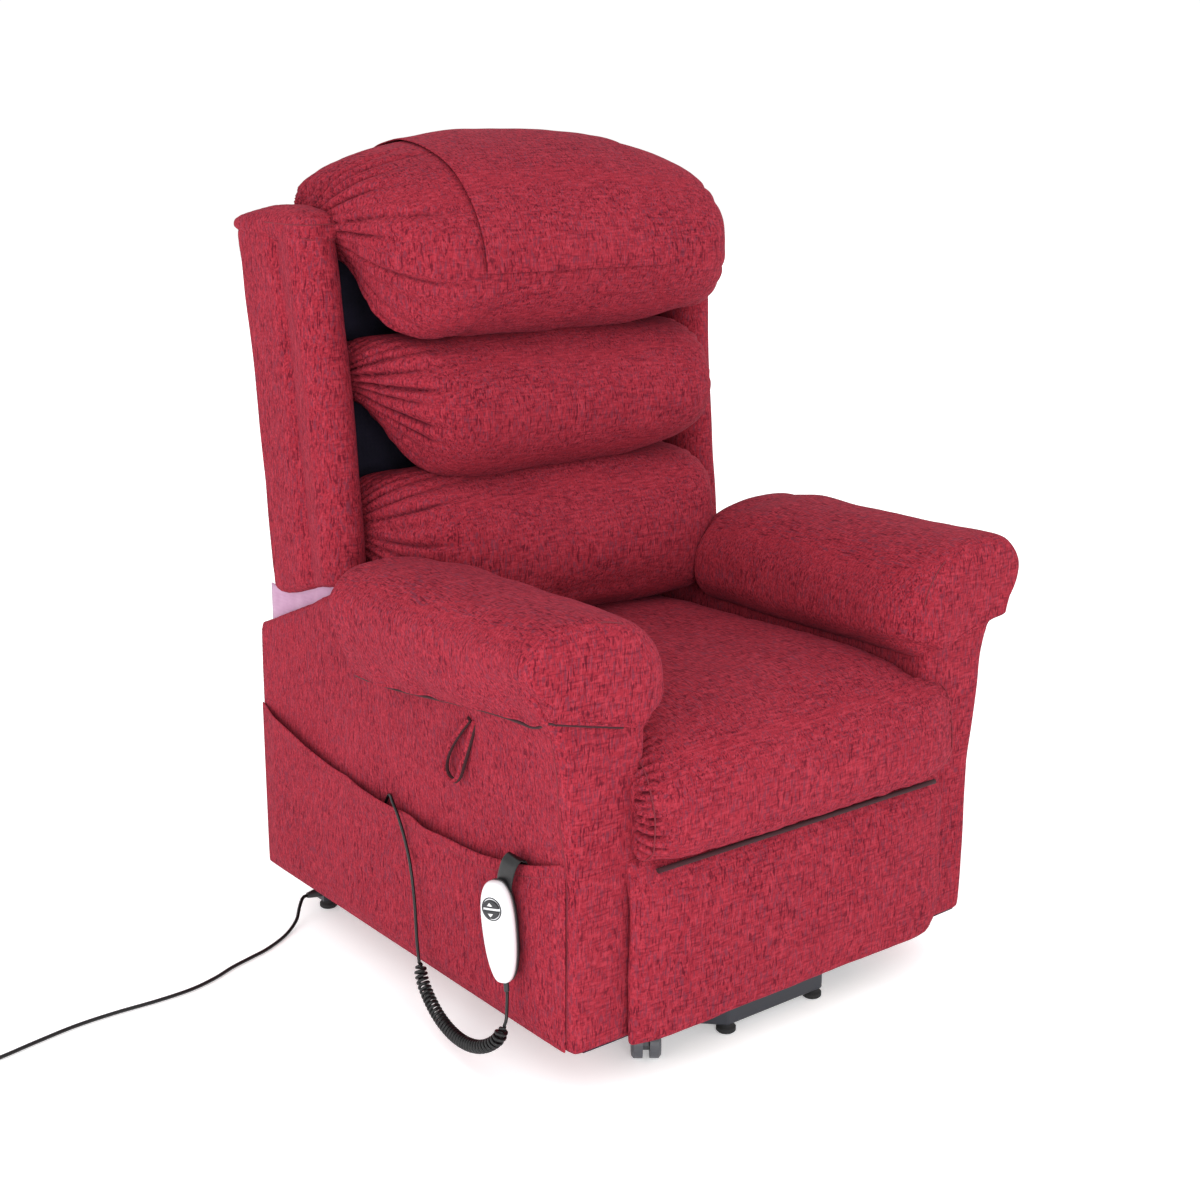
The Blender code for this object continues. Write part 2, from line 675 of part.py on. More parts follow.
# ---- the footrest -------------------------------------------------------------------------------
def footrest():
    for side in (-1, 1):
        name = side_name(side)
        flat_link(f"footrest_carrier_{name}", CARRIER_PIVOT, OTTOMAN_PIVOT, CARRIER_X, side,
                  (CARRIER_PIVOT,))
        pin(bpy.data.objects[f"footrest_carrier_{name}"], OTTOMAN_PIVOT, CARRIER_X[1] - 0.001,
            OTTOMAN_X[0], side)
        flat_link(f"footrest_link_{name}", OTTOMAN_PIVOT, FOOTREST_PIVOT, OTTOMAN_X, side, (OTTOMAN_PIVOT,))
        pin(bpy.data.objects[f"footrest_link_{name}"], FOOTREST_PIVOT, OTTOMAN_X[1] - 0.001,
            FOOT_BRACKET_X[0], side)
    board = box("footrest_board", (-0.245, -0.4025, 0.070), (0.245, -0.3885, 0.288), WOOD)
    y, z = FOOTREST_PIVOT
    bracket = [(-0.3900, z - 0.060), (-0.3900, z + 0.0075), (y - 0.004, z + 0.0103)] + arc(FOOTREST_PIVOT,
                                                            LINK, 80, -80, 6)
    for side in (-1, 1):
        start, end = sorted((side * FOOT_BRACKET_X[0], side * FOOT_BRACKET_X[1]))
        union(board, prism(f"footrest_bracket_{side_name(side)}", bracket, "x", start, end))
    for side in (-1, 1):
        low, high = side * 0.150, side * 0.170
        cut(board, rod(f"footrest_bracket_hole_{side_name(side)}", (low, y, z), (high, y, z), HOLE, STEEL,
                       12))
    pad = box("footrest_pad", (-0.2735, -0.4310, 0.0600), (0.2735, -0.4045, 0.2930), CHENILLE)
    return bevel(pad, 0.008, 2)


# ---- the back -----------------------------------------------------------------------------------
def lean(z):
    """y of the back board's front face at height z."""
    return BOARD_Y0 + BACK_LEAN * (z - BOARD_Z0)


def leaning_slab(name, outline, forward, backward, surface):
    """An (x, z) outline as a slab parallel to the back board, from forward to backward of its face."""
    shape = bmesh.new()
    front = [shape.verts.new((x, lean(z) + forward, z)) for x, z in outline]
    back = [shape.verts.new((x, lean(z) + backward, z)) for x, z in outline]
    shape.faces.new(front)
    shape.faces.new(back)
    for i in range(len(outline)):
        j = (i + 1) % len(outline)
        shape.faces.new((front[i], front[j], back[j], back[i]))
    return from_bmesh(name, shape, surface)


def back_board():
    """Back board, narrow between the arms and wide above them, with the two hinge brackets."""
    low, waist, top = 0.400, 0.560, 1.100
    narrow, wide = 0.225, 0.302
    outline = [(-narrow, low), (narrow, low), (narrow, waist), (wide, waist), (wide, 1.000), (0.200, top),
               (-0.200, top), (-wide, 1.000), (-wide, waist), (-narrow, waist)]
    board = leaning_slab("back_board", outline, 0, 0.022, LINING)
    y, z = BACK_PIVOT
    bracket = [(lean(0.44) + 0.018, 0.440), (y - LINK, z)] + arc(BACK_PIVOT, LINK, 200, 360,
                                                            7) + [(y + LINK, 0.400),
                                                            (lean(0.54) + 0.020,
                                                            0.545), (lean(0.54) + 0.004, 0.545)]
    for side in (-1, 1):
        start, end = sorted((side * BACK_BRACKET_X[0], side * BACK_BRACKET_X[1]))
        plate = prism(f"back_bracket_{side_name(side)}", bracket, "x", start, end)
        cut(plate, rod(f"back_bracket_hole_{side_name(side)}", (start - 0.01, y, z), (end + 0.01, y, z),
                       HOLE, STEEL, 12))
        union(board, plate)
        bridge_x = sorted((side * (narrow - 0.005), side * BACK_BRACKET_X[1]))
        union(board, box(f"back_bridge_{side_name(side)}", (bridge_x[0], lean(0.47) + 0.004, 0.450),
                         (bridge_x[1], lean(0.47) + 0.020, 0.530)))
    return board


def wing(side):
    """Side wing: a flat outer board with a round padded front roll, its lower edge cut at a slant."""
    x_out, x_in, roll_radius = 0.372, 0.304, 0.0340
    name = f"wing_{side_name(side)}"
    low_front, low_rear, top = 0.562, 0.522, 1.078
    shape = bmesh.new()
    rings = []
    for up in (0, 0.25, 0.5, 0.75, 1):
        rear_y = 0.336 + 0.056 * up
        roll_y = 0.186 + 0.056 * up
        flare = 0.010 * up**3
        outline = [(x_in, rear_y), (x_in, roll_y)]
        outline += arc((x_out - roll_radius, roll_y), roll_radius, 180, 360, 8)[1:] + [(x_out, rear_y)]
        ring = []
        for x, y in outline:
            low = low_front + (low_rear - low_front) * (y - roll_y) / (rear_y - roll_y)
            ring.append(shape.verts.new((side * (x + flare), y, low + (top - low) * up)))
        rings.append(ring)
    for first, second in zip(rings, rings[1:]):
        for i in range(len(outline)):
            j = (i + 1) % len(outline)
            shape.faces.new((first[i], first[j], second[j], second[i]))
    shape.faces.new(rings[0])
    shape.faces.new(rings[-1])
    return from_bmesh(name, shape, CHENILLE, 50)


def outside_back():
    """Upholstered panel over the rear of the back board."""
    narrow, wide, low, waist, top = 0.226, 0.302, 0.440, 0.560, 1.090
    outline = [(-narrow, low), (narrow, low), (narrow, waist), (wide, waist), (wide, 0.992), (0.200, top),
               (-0.200, top), (-wide, 0.992), (-wide, waist), (-narrow, waist)]
    return bevel(leaning_slab("outside_back", outline, 0.0300, 0.0520, CHENILLE), 0.004, 1)


HEAD_OUTLINE = [
    (0.286, 0.945), (0.210, 0.916), (0.120, 0.910), (0.068, 0.938), (0.046, 1.000), (0.060, 1.075),
    (0.108, 1.140), (0.180, 1.176), (0.262, 1.186), (0.336, 1.170), (0.372, 1.135), (0.374, 1.1050),
    (0.322, 1.1045), (0.296, 1.060),
]


def back_pillows():
    head = [(0, 1, 0, 0), (0.19, 0.985, 0, 0), (0.26, 0.92, 0.010, -0.004), (0.290, 0.76, 0.030, -0.012),
            (0.302, 0.50, 0.055, -0.024)]
    loft_x("head_pillow", [tuple(p) for p in HEAD_OUTLINE], mirrored(head), CHENILLE)
    middle = [(0.290, 0.820), (0.262, 0.903), (0.160, 0.904), (0.075, 0.870), (0.046, 0.800),
              (0.075, 0.735),
              (0.150, 0.708), (0.255, 0.718)]
    middle = [tuple(p) for p in smooth(middle, 2, closed=True)]
    ends = [(0, 1, 0, 0), (0.18, 0.99, 0, 0), (0.25, 0.90, 0.012, 0.004), (0.285, 0.68, 0.038, 0.012),
            (0.300, 0.42, 0.062, 0.02)]
    loft_x("middle_bolster", middle, mirrored(ends), CHENILLE)
    lumbar = [(0.250, 0.492), (0.150, 0.488), (0.065, 0.494), (0.036, 0.550), (0.042, 0.630),
              (0.085, 0.690),
              (0.160, 0.703), (0.258, 0.700), (0.268, 0.600)]
    sides = [(0, 1, 0, 0), (0.17, 0.99, 0, 0.001), (0.207, 0.93, 0.004, 0.006), (0.245, 0.60, 0.052, 0.045),
             (0.275, 0.40, 0.070, 0.055)]
    loft_x("lumbar_bolster", lumbar, mirrored(sides), CHENILLE)


def head_cover():
    """Loose cloth over the middle of the head pillow, from behind the back to its front."""
    line = [(0.3880, 1.095), (0.3870, 1.142), (0.342, 1.182), (0.264, 1.195), (0.178, 1.186),
            (0.101, 1.148),
            (0.049, 1.080), (0.037, 1.003)]
    thick = 0.0025
    outer = []
    for i, p in enumerate(line):
        before, after = Vector(line[max(i - 1, 0)]), Vector(line[min(i + 1, len(line) - 1)])
        along = (after - before).normalized()
        outer.append((p[0] + along.y * thick, p[1] - along.x * thick))
    return prism("head_cover", line + list(reversed(outer)), "x", -0.195, 0.165, CHENILLE, 50)


def back():
    back_board()
    outside_back()
    back_pillows()
    head_cover()
    for side in (-1, 1):
        wing(side)


# ---- the hand control ---------------------------------------------------------------------------
def handset_point(along, across, x):
    """A point on the hand control: along its length downwards, across its width towards the front."""
    down = Vector((0, -math.sin(HANDSET_TILT), -math.cos(HANDSET_TILT)))
    front = Vector((0, -math.cos(HANDSET_TILT), math.sin(HANDSET_TILT)))
    return Vector((x, HANDSET_Y, HANDSET_Z)) + down * along + front * across


def handset_outline(inset=0.0):
    """Long rounded outline, widest at the top third: (along, across)."""
    half = HANDSET_LENGTH / 2 - inset
    points = []
    for i in range(20):
        t = 2 * math.pi * i / 20
        along = half * math.copysign(abs(math.cos(t)) ** 0.55, math.cos(t))
        width = (HANDSET_WIDTH / 2 - inset) * (1 - 0.16 * (along / half + 0.3) ** 2)
        points.append((along, width * math.copysign(abs(math.sin(t)) ** 0.62, math.sin(t))))
    return points


def handset_shell(name, layers, surface):
    """A shell from layers of (x, inset)."""
    shape = bmesh.new()
    rings = [[shape.verts.new(handset_point(a, c, x)) for a, c in handset_outline(inset)] for x,
             inset in layers]
    for first, second in zip(rings, rings[1:]):
        for i in range(len(first)):
            j = (i + 1) % len(first)
            shape.faces.new((first[i], first[j], second[j], second[i]))
    shape.faces.new(rings[0])
    shape.faces.new(rings[-1])
    return from_bmesh(name, shape, surface, 40)


BUTTON_ALONG, BUTTON_RADIUS = -0.034, 0.0105


def handset():
    """Two shells, the two half-round buttons and the clip over the pocket's edge."""
    middle = HANDSET_X - BACK_SHELL
    face = middle - FRONT_SHELL
    handset_shell("handset_back_shell", [(HANDSET_X, 0.006), (HANDSET_X - 0.004, 0.0015), (middle, 0)],
                  CHARCOAL)
    front = handset_shell("handset_front_shell", [(middle - GAP, 0), (face + 0.007, 0.001), (face + 0.002,
                                                            0.005), (face, 0.009)], WHITE)
    centre = handset_point(BUTTON_ALONG, 0, face)
    recess = 0.0030
    well = rod("button_well", centre + Vector((recess, 0, 0)), centre - Vector((0.005, 0, 0)),
               BUTTON_RADIUS + 0.0006, WHITE, 24)
    cut(front, well)
    for name, start, end in (("up", 96, 264), ("down", -84, 84)):
        outline = arc((0, 0), BUTTON_RADIUS, start, end, 11)
        gap = -0.0005 if name == "up" else 0.0005
        shape = bmesh.new()
        rings = []
        for x in (face + recess - 0.0014, face - 0.0012):
            rings.append([shape.verts.new(handset_point(BUTTON_ALONG + a + gap, c, x)) for a, c in outline])
        for i in range(len(outline)):
            j = (i + 1) % len(outline)
            shape.faces.new((rings[0][i], rings[0][j], rings[1][j], rings[1][i]))
        shape.faces.new(rings[0])
        shape.faces.new(rings[1])
        from_bmesh(f"button_{name}", shape, CHARCOAL)
    clip_y = (-0.312, -0.284)
    outside, inside = POCKET_X[0] - 0.0003, POCKET_X[1] + 0.0005
    reach, crest, thick = 0.262, 0.3085, 0.0022
    outline = [(HANDSET_X + 0.0005, 0.284), (outside, 0.284), (outside, crest), (inside, crest),
               (inside, reach),
               (inside + thick, reach), (inside + thick, crest + thick), (HANDSET_X + 0.0005 - 0.004,
                                                            crest + thick), (HANDSET_X + 0.0005 - 0.004,
                                                            0.2875), (HANDSET_X + 0.0005, 0.2875)]
    prism("handset_clip", outline, "y", *clip_y, surface=CHARCOAL)
    tail = handset_point(HANDSET_LENGTH / 2 + GAP, 0, HANDSET_X - 0.013)
    return tail


# ---- the cords ----------------------------------------------------------------------------------
MAINS_ROUTE = [
    (-0.3502, 0.3160, 0.0285), (-0.3590, 0.3140, 0.0275), (-0.3720, 0.3020, 0.0190), (-0.3880, 0.2840,
                                                            0.0085),
    (-0.4200, 0.2590, 0.0032), (-0.4640, 0.2340, 0.0031), (-0.5000, 0.2220, 0.0031), (-0.5350, 0.2110,
                                                            0.0031),
    (-0.5720, 0.1950, 0.0031), (-0.6150, 0.1840, 0.0031), (-0.6700, 0.1820, 0.0031), (-0.7300, 0.1850,
                                                            0.0031),
    (-0.7900, 0.1840, 0.0031), (-0.8500, 0.1760, 0.0031), (-0.9000, 0.1690, 0.0031), (-0.9450, 0.1620,
                                                            0.0031),
]
UPPER_ROUTE = [
    (-0.3742, 0.0420, 0.2640), (-0.3742, 0.0300, 0.2830), (-0.3768, 0.0190, 0.2955), (-0.3815, 0.0060,
                                                            0.3005),
    (-0.3865, -0.0080, 0.2960), (-0.3890, -0.0250, 0.2810), (-0.3900, -0.0430, 0.2520), (-0.3930, -0.0600,
                                                            0.2200),
    (-0.3970, -0.0750, 0.1750), (-0.4010, -0.0850, 0.1250), (-0.4030, -0.0920, 0.0950),
]
CURL_ROUTE = [
    (-0.4030, -0.0925, 0.0925), (-0.4060, -0.1080, 0.0640), (-0.4130, -0.1480, 0.0420), (-0.4190, -0.1930,
                                                            0.0330),
    (-0.4240, -0.2380, 0.0365), (-0.4260, -0.2780, 0.0500), (-0.4220, -0.3060, 0.0710), (-0.4150, -0.3130,
                                                            0.0930),
]


def cords(tail):
    """Mains cord, its coil and plug, and the hand control's cord with its curly stretch."""
    mains_line = smooth(MAINS_ROUTE, 5)
    cord("mains_cord", mains_line, MAINS_RADIUS, CABLE, 2)
    cx, cy = COIL_CENTRE
    bottom = 0.0003
    turned("mains_coil", [(COIL_INNER, bottom), (COIL_OUTER, bottom), (COIL_OUTER, bottom + COIL_HEIGHT),
                          (COIL_INNER, bottom + COIL_HEIGHT)],
           (cx, cy, 0), (0, 0, 1), CABLE, 32)
    plug(cx, cy)
    cord("handset_cord_upper", smooth(UPPER_ROUTE, 4), CURLY_WIRE_RADIUS, CABLE, 2)
    cord("handset_cord_curl", smooth(CURL_ROUTE, 4), CURL_RADIUS, CABLE, 2)
    last = Vector(CURL_ROUTE[-1])
    lower = [last + Vector((0.0012, -0.0002, 0.0034)), last + Vector((0.004, -0.001, 0.014)),
             tail + Vector((0, -0.002, -0.016)), tail + Vector((0, 0, -0.0004))]
    cord("handset_cord_lower", smooth(lower, 4), CURLY_WIRE_RADIUS, CABLE, 2)


def plug(cx, cy):
    """Generic three-pin plug lying beside the coil, pins up to the coil's height."""
    x, y = cx - 0.002, cy - COIL_OUTER - 0.032
    half, tall = 0.024, 0.020
    body = box("mains_plug", (x - half, y - half, 0.0003), (x + half, y + half, tall), CHARCOAL)
    bevel(body, 0.005, 2)
    for dx, dy, wide, long in ((0, 0.011, 0.002, 0.004), (-0.011, -0.008, 0.0032, 0.002),
                               (0.011, -0.008, 0.0032, 0.002)):
        union(body, box(f"plug_pin_{dx}", (x + dx - wide, y + dy - long, tall - 0.002),
                        (x + dx + wide, y + dy + long, tall + 0.018), BRIGHT))
    return body


base()
lift()
chassis()
footrest()
back()
cords(handset())
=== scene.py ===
"""Looks of a lift recliner chair: padded chenille pieces, covers, cords and materials on the CAD frame."""
import json
import math

import bmesh
import bpy
import numpy as np
from mathutils import Matrix, Vector, noise
from mathutils.bvhtree import BVHTree


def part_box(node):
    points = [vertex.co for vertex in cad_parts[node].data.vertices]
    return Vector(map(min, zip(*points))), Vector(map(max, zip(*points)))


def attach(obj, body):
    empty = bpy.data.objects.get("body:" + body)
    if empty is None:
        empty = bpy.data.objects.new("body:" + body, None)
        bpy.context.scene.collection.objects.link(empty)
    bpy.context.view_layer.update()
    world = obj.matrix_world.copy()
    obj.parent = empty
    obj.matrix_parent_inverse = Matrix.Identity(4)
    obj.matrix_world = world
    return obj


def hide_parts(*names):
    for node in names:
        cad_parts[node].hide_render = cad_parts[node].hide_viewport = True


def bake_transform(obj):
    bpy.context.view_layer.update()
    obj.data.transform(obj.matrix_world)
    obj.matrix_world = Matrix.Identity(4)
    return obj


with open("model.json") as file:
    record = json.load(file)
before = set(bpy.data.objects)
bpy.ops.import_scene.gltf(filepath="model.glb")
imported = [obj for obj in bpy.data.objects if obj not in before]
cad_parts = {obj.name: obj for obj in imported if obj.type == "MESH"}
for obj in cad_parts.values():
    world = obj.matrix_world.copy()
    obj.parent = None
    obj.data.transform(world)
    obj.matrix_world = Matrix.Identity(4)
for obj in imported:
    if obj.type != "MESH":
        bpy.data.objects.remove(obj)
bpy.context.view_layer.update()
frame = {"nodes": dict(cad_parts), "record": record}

# ---- driving dimensions, in metres --------------------------------------------------------------
# The chair is drawn with its arm boxes from -0.400 to 0.400 in y; SHIFT moves that into the frame.
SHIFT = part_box("arm_box_left")[1][1] - 0.400
ARM_IN, ARM_OUT = 0.255, 0.370
ARM_FRONT, ARM_REAR = -0.400, 0.400
BODY_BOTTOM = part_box("arm_box_left")[0][2]
BOARD_Y, BOARD_Z, LEAN = 0.262, 0.450, 0.10


def at(x, y, z):
    return Vector((x, y + SHIFT, z))


def side_name(side):
    return "left" if side > 0 else "right"


def smoothstep(low, high, value):
    t = min(max((value - low) / (high - low), 0.0), 1.0)
    return t * t * (3 - 2 * t)


def mix(a, b, t):
    return a + (b - a) * t


# ---- materials ----------------------------------------------------------------------------------
class Shader:
    """A short way to wire nodes: node(type, inputs..., property=value)."""

    def __init__(self, name):
        self.material = bpy.data.materials.new(name)
        self.material.use_nodes = True
        self.tree = self.material.node_tree
        self.surface = self.tree.nodes["Principled BSDF"]
        self.place = self.tree.nodes.new("ShaderNodeTexCoord").outputs["Object"]

    def node(self, kind, inputs=(), **settings):
        made = self.tree.nodes.new("ShaderNode" + kind)
        for key, value in settings.items():
            setattr(made, key, value)
        for key, value in dict(inputs).items():
            socket = made.inputs[key]
            if isinstance(value, bpy.types.NodeSocket):
                self.tree.links.new(value, socket)
            else:
                socket.default_value = value
        return made

    def set(self, **values):
        for key, value in values.items():
            socket = self.surface.inputs[key.replace("_", " ")]
            if isinstance(value, bpy.types.NodeSocket):
                self.tree.links.new(value, socket)
            else:
                socket.default_value = value

    def stretched(self, scale):
        return self.node("Mapping", {"Vector": self.place, "Scale": scale}).outputs[0]

    def noise(self, vector, scale, detail=2.0, rough=0.5):
        inputs = {"Vector": vector, "Scale": scale, "Detail": detail, "Roughness": rough}
        return self.node("TexNoise", inputs).outputs["Fac"]

    def ramp(self, value, low, high, start=0.0, end=1.0):
        inputs = {"Value": value, "From Min": low, "From Max": high, "To Min": start, "To Max": end}
        return self.node("MapRange", inputs).outputs[0]

    def math(self, operation, a, b=0.0):
        return self.node("Math", {0: a, 1: b}, operation=operation).outputs[0]

    def blend(self, amount, a, b):
        made = self.node("Mix", {0: amount}, data_type="RGBA")
        for index, value in ((6, a), (7, b)):
            if isinstance(value, bpy.types.NodeSocket):
                self.tree.links.new(value, made.inputs[index])
            else:
                made.inputs[index].default_value = (*value, 1.0)
        return made.outputs[2]

    def bump(self, height, distance, strength=1.0):
        inputs = {"Height": height, "Distance": distance, "Strength": strength}
        return self.node("Bump", inputs).outputs[0]


def linear(red, green, blue):
    """Linear colour from 0-255 display values."""
    shares = [c / 255 for c in (red, green, blue)]
    return tuple(c / 12.92 if c <= 0.04045 else ((c + 0.055) / 1.055) ** 2.4 for c in shares)


CRIMSON, DEEP, BRIGHT = linear(141, 38, 50), linear(92, 20, 33), linear(166, 56, 69)
GREY_PLUM = linear(88, 44, 60)


# DARKEST_YARN is the cloth's own dark yarn; PAINTED_CREASE_SHADE is the painted shade for deep folds
DARKEST_YARN, PAINTED_CREASE_SHADE = linear(64, 14, 28), linear(46, 8, 18)


def chenille(name):
    """Heathered chenille: short thick yarn strokes along the warp, flecks of plum, a soft pile and painted
    shade in its deep folds.
    """
    s = Shader(name)
    # strokes run along the warp on upright faces, and along y on faces that look up
    upright, flat, across = (1.0, 1.0, 0.20), (1.0, 0.20, 1.0), (0.16, 1.0, 1.0)
    normal = s.node("TexCoord").outputs["Normal"]
    up = s.math("ABSOLUTE", s.node("SeparateXYZ", {0: normal}).outputs["Z"])
    facing_up = s.ramp(up, 0.62, 0.78)

    def strokes(scale, detail):
        on_wall = s.noise(s.stretched(upright), scale, detail, 0.62)
        on_top = s.noise(s.stretched(flat), scale, detail, 0.62)
        made = s.node("Mix", {0: facing_up, 2: on_wall, 3: on_top}, data_type="FLOAT")
        return made.outputs[0]

    yarn = strokes(620.0, 1.0)
    flecks = strokes(330.0, 1.0)
    patches = strokes(230.0, 1.0)
    weft = s.noise(s.stretched(across), 340.0, 1.0)
    cloud = s.noise(s.place, 9.0, 2.0)
    colour = s.blend(s.ramp(yarn, 0.36, 0.56, 0.50, 1.0), DEEP, CRIMSON)
    colour = s.blend(s.ramp(patches, 0.55, 0.66, 0.0, 0.45), colour, BRIGHT)
    colour = s.blend(s.ramp(weft, 0.56, 0.64, 0.0, 0.40), colour, BRIGHT)
    colour = s.blend(s.ramp(flecks, 0.57, 0.63, 0.0, 0.58), colour, GREY_PLUM)
    colour = s.blend(s.ramp(flecks, 0.41, 0.36, 0.0, 0.72), colour, DARKEST_YARN)
    colour = s.blend(s.ramp(weft, 0.40, 0.35, 0.0, 0.42), colour, DARKEST_YARN)
    colour = s.blend(s.ramp(cloud, 0.35, 0.70, 0.0, 0.12), colour, BRIGHT)
    # painted shade: the colour darkens where the crease attribute marks deep folds
    crease_shade_mask = s.node("Attribute", attribute_name="crease").outputs["Fac"]
    colour = s.blend(s.ramp(crease_shade_mask, 0.0, 1.0, 0.0, 0.80), colour, PAINTED_CREASE_SHADE)
    rough = s.ramp(yarn, 0.3, 0.7, 0.97, 0.86)
    height = s.math("ADD", yarn, s.math("ADD", s.math("MULTIPLY", flecks, 1.2),
                                        s.math("MULTIPLY", weft, 0.7)))
    s.set(Base_Color=colour, Roughness=rough, Normal=s.bump(height, 0.0008, 0.7))
    s.set(Sheen_Weight=0.05, Sheen_Roughness=0.5, Sheen_Tint=(0.85, 0.22, 0.36, 1.0), Specular_IOR_Level=0.05)
    return s.material


def plain(name, colour, rough, metallic=0.0, grain=900.0, depth=0.00012, variation=0.25, **more):
    """Moulded, painted or turned surface: fine grain in the bump, a little variation in gloss."""
    s = Shader(name)
    fine = s.noise(s.place, grain, 3.0)
    broad = s.noise(s.place, 14.0, 3.0)
    darker = tuple(c * (1 - variation) for c in colour)
    s.set(Base_Color=s.blend(s.ramp(broad, 0.3, 0.7), darker, colour), Metallic=metallic)
    s.set(Roughness=s.ramp(broad, 0.25, 0.75, rough * 0.85, min(rough * 1.15, 1.0)))
    s.set(Normal=s.bump(fine, depth, 0.6), **more)
    return s.material


def woven(name, colour, second, pitch=0.0011):
    """Plain-weave lining or calico: two crossing sets of threads."""
    s = Shader(name)
    count = 1.0 / pitch
    waves = []
    for axis in ("X", "Z"):
        inputs = {"Vector": s.place, "Scale": count / 20, "Distortion": 0.4, "Detail": 1.0}
        waves.append(s.node("TexWave", inputs, bands_direction=axis).outputs["Fac"])
    height = s.math("MULTIPLY", waves[0], waves[1])
    cloud = s.noise(s.place, 30.0, 4.0)
    s.set(Base_Color=s.blend(s.ramp(cloud, 0.3, 0.7), colour, second), Roughness=0.9)
    s.set(Normal=s.bump(height, 0.0004, 0.7), Sheen_Weight=0.2, Specular_IOR_Level=0.2)
    return s.material


def timber(name):
    s = Shader(name)
    rings = s.node("TexWave", {"Vector": s.stretched((0.25, 1, 1)), "Scale": 18.0, "Distortion": 6.0,
                               "Detail": 3.0})
    grain = s.noise(s.stretched((0.05, 1, 1)), 260.0, 3.0)
    colour = s.blend(rings.outputs["Fac"], linear(176, 138, 92), linear(205, 170, 122))
    s.set(Base_Color=colour, Roughness=s.ramp(grain, 0.2, 0.8, 0.55, 0.75), Normal=s.bump(grain, 0.0003, 0.6))
    return s.material


FABRIC = chenille("chenille_crimson")
LINING = woven("lining_navy", linear(20, 18, 32), linear(30, 26, 44))
CALICO = woven("calico_lilac", linear(182, 144, 170), linear(164, 124, 152), 0.0009)
DARK_THREAD = plain("thread_burgundy", linear(120, 26, 42), 0.95, grain=2500.0, depth=0.0002)
# painted shadow: dark strips laid where the seat's lip, the arm covers' hems and the pull loop throw shade
PAINTED_SHADOW = plain("painted_shadow_burgundy", linear(52, 10, 20), 0.95, grain=2500.0, depth=0.0002)
STEEL = plain("steel_black_paint", linear(36, 39, 48), 0.42, 0.35, grain=700.0, Coat_Weight=0.15)
BRIGHT_STEEL = plain("steel_polished", linear(190, 192, 196), 0.14, 1.0, grain=300.0, depth=0.00004)
RUBBER = plain("rubber_black", linear(22, 22, 24), 0.8, grain=1500.0)
WHEEL_GREY = plain("castor_grey", linear(70, 72, 78), 0.5)
CHARCOAL = plain("plastic_charcoal", linear(34, 34, 37), 0.42, grain=1800.0, depth=0.0001)
PAD_GREY = plain("button_grey", linear(40, 42, 46), 0.55, grain=1800.0)
WHITE = plain("plastic_white", linear(232, 233, 236), 0.20, grain=120.0, depth=0.00003, variation=0.03,
              Coat_Weight=0.6)
ICON = plain("icon_white", linear(240, 240, 240), 0.5, variation=0.02)
CABLE = plain("cable_black", linear(11, 11, 13), 0.34, grain=400.0, depth=0.00006, Specular_IOR_Level=0.35)
WOOD = timber("timber_ply")
BRASS = plain("pin_brass", linear(190, 160, 96), 0.25, 1.0)


# ---- mesh helpers -------------------------------------------------------------------------------
def piece(name, mesh, material, body=None):
    item = bpy.data.objects.new(name, mesh)
    bpy.context.scene.collection.objects.link(item)
    mesh.materials.append(material)
    mesh.polygons.foreach_set("use_smooth", [True] * len(mesh.polygons))
    if body:
        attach(item, body)
    return item


def skin(name, rings, closed=True, ends=True):
    """Mesh through rings of points in the chair's own place; each end closes on its middle point."""
    shape = bmesh.new()
    rows = [[shape.verts.new(at(*p)) for p in ring] for ring in rings]
    for first, second in zip(rows, rows[1:]):
        count = len(first)
        for i in range(count if closed else count - 1):
            j = (i + 1) % count
            shape.faces.new((first[i], first[j], second[j], second[i]))
    if ends:
        for row in (rows[0], rows[-1]):
            middle = shape.verts.new(sum((v.co for v in row), Vector()) / len(row))
            for i in range(len(row)):
                shape.faces.new((row[i], row[(i + 1) % len(row)], middle))
    bmesh.ops.recalc_face_normals(shape, faces=shape.faces)
    mesh = bpy.data.meshes.new(name)
    shape.to_mesh(mesh)
    shape.free()
    return mesh


def curve_points(points, step, closed=False):
    """Catmull-Rom curve through points, read again at even steps."""
    points = [Vector(p) for p in points]
    count = len(points)
    spans = count if closed else count - 1
    dense = []
    for i in range(spans):
        if closed:
            p0, p1, p2, p3 = (points[(i + k) % count] for k in (-1, 0, 1, 2))
        else:
            p0, p1, p2, p3 = (points[min(max(i + k, 0), count - 1)] for k in (-1, 0, 1, 2))
        for j in range(16):
            t = j / 16
            dense.append(0.5 * (2 * p1 + (p2 - p0) * t + (2 * p0 - 5 * p1 + 4 * p2 - p3) * t**2
                                + (3 * p1 - p0 - 3 * p2 + p3) * t**3))
    dense.append(points[0] if closed else points[-1])
    lengths = [0.0]
    for a, b in zip(dense, dense[1:]):
        lengths.append(lengths[-1] + (b - a).length)
    pieces = max(int(round(lengths[-1] / step)), 3)
    out = []
    k = 0
    for n in range(pieces if closed else pieces + 1):
        want = lengths[-1] * n / pieces
        while k < len(dense) - 2 and lengths[k + 1] < want:
            k += 1
        share = (want - lengths[k]) / max(lengths[k + 1] - lengths[k], 1e-9)
        out.append(dense[k].lerp(dense[k + 1], min(max(share, 0), 1)))
    return out


def displaced(item, rule):
    """Moves every vertex along its normal by rule(place in the chair's own frame, normal).

    How deep each place sinks is kept in a crease attribute, by which the cloth's colour is darkened as
    painted shade in the folds."""
    mesh = item.data
    normals = [v.normal.copy() for v in mesh.vertices]
    painted_shade_amounts = []
    for v, normal in zip(mesh.vertices, normals):
        amount = rule(v.co - Vector((0, SHIFT, 0)), normal)
        v.co += normal * amount
        # painted shade: deeper dents get a darker cloth colour
        painted_shade_amounts.append(smoothstep(0.0022, 0.0062, -amount))
    mesh.attributes.new("crease", "FLOAT", "POINT").data.foreach_set("value", painted_shade_amounts)
    mesh.update()
    return item


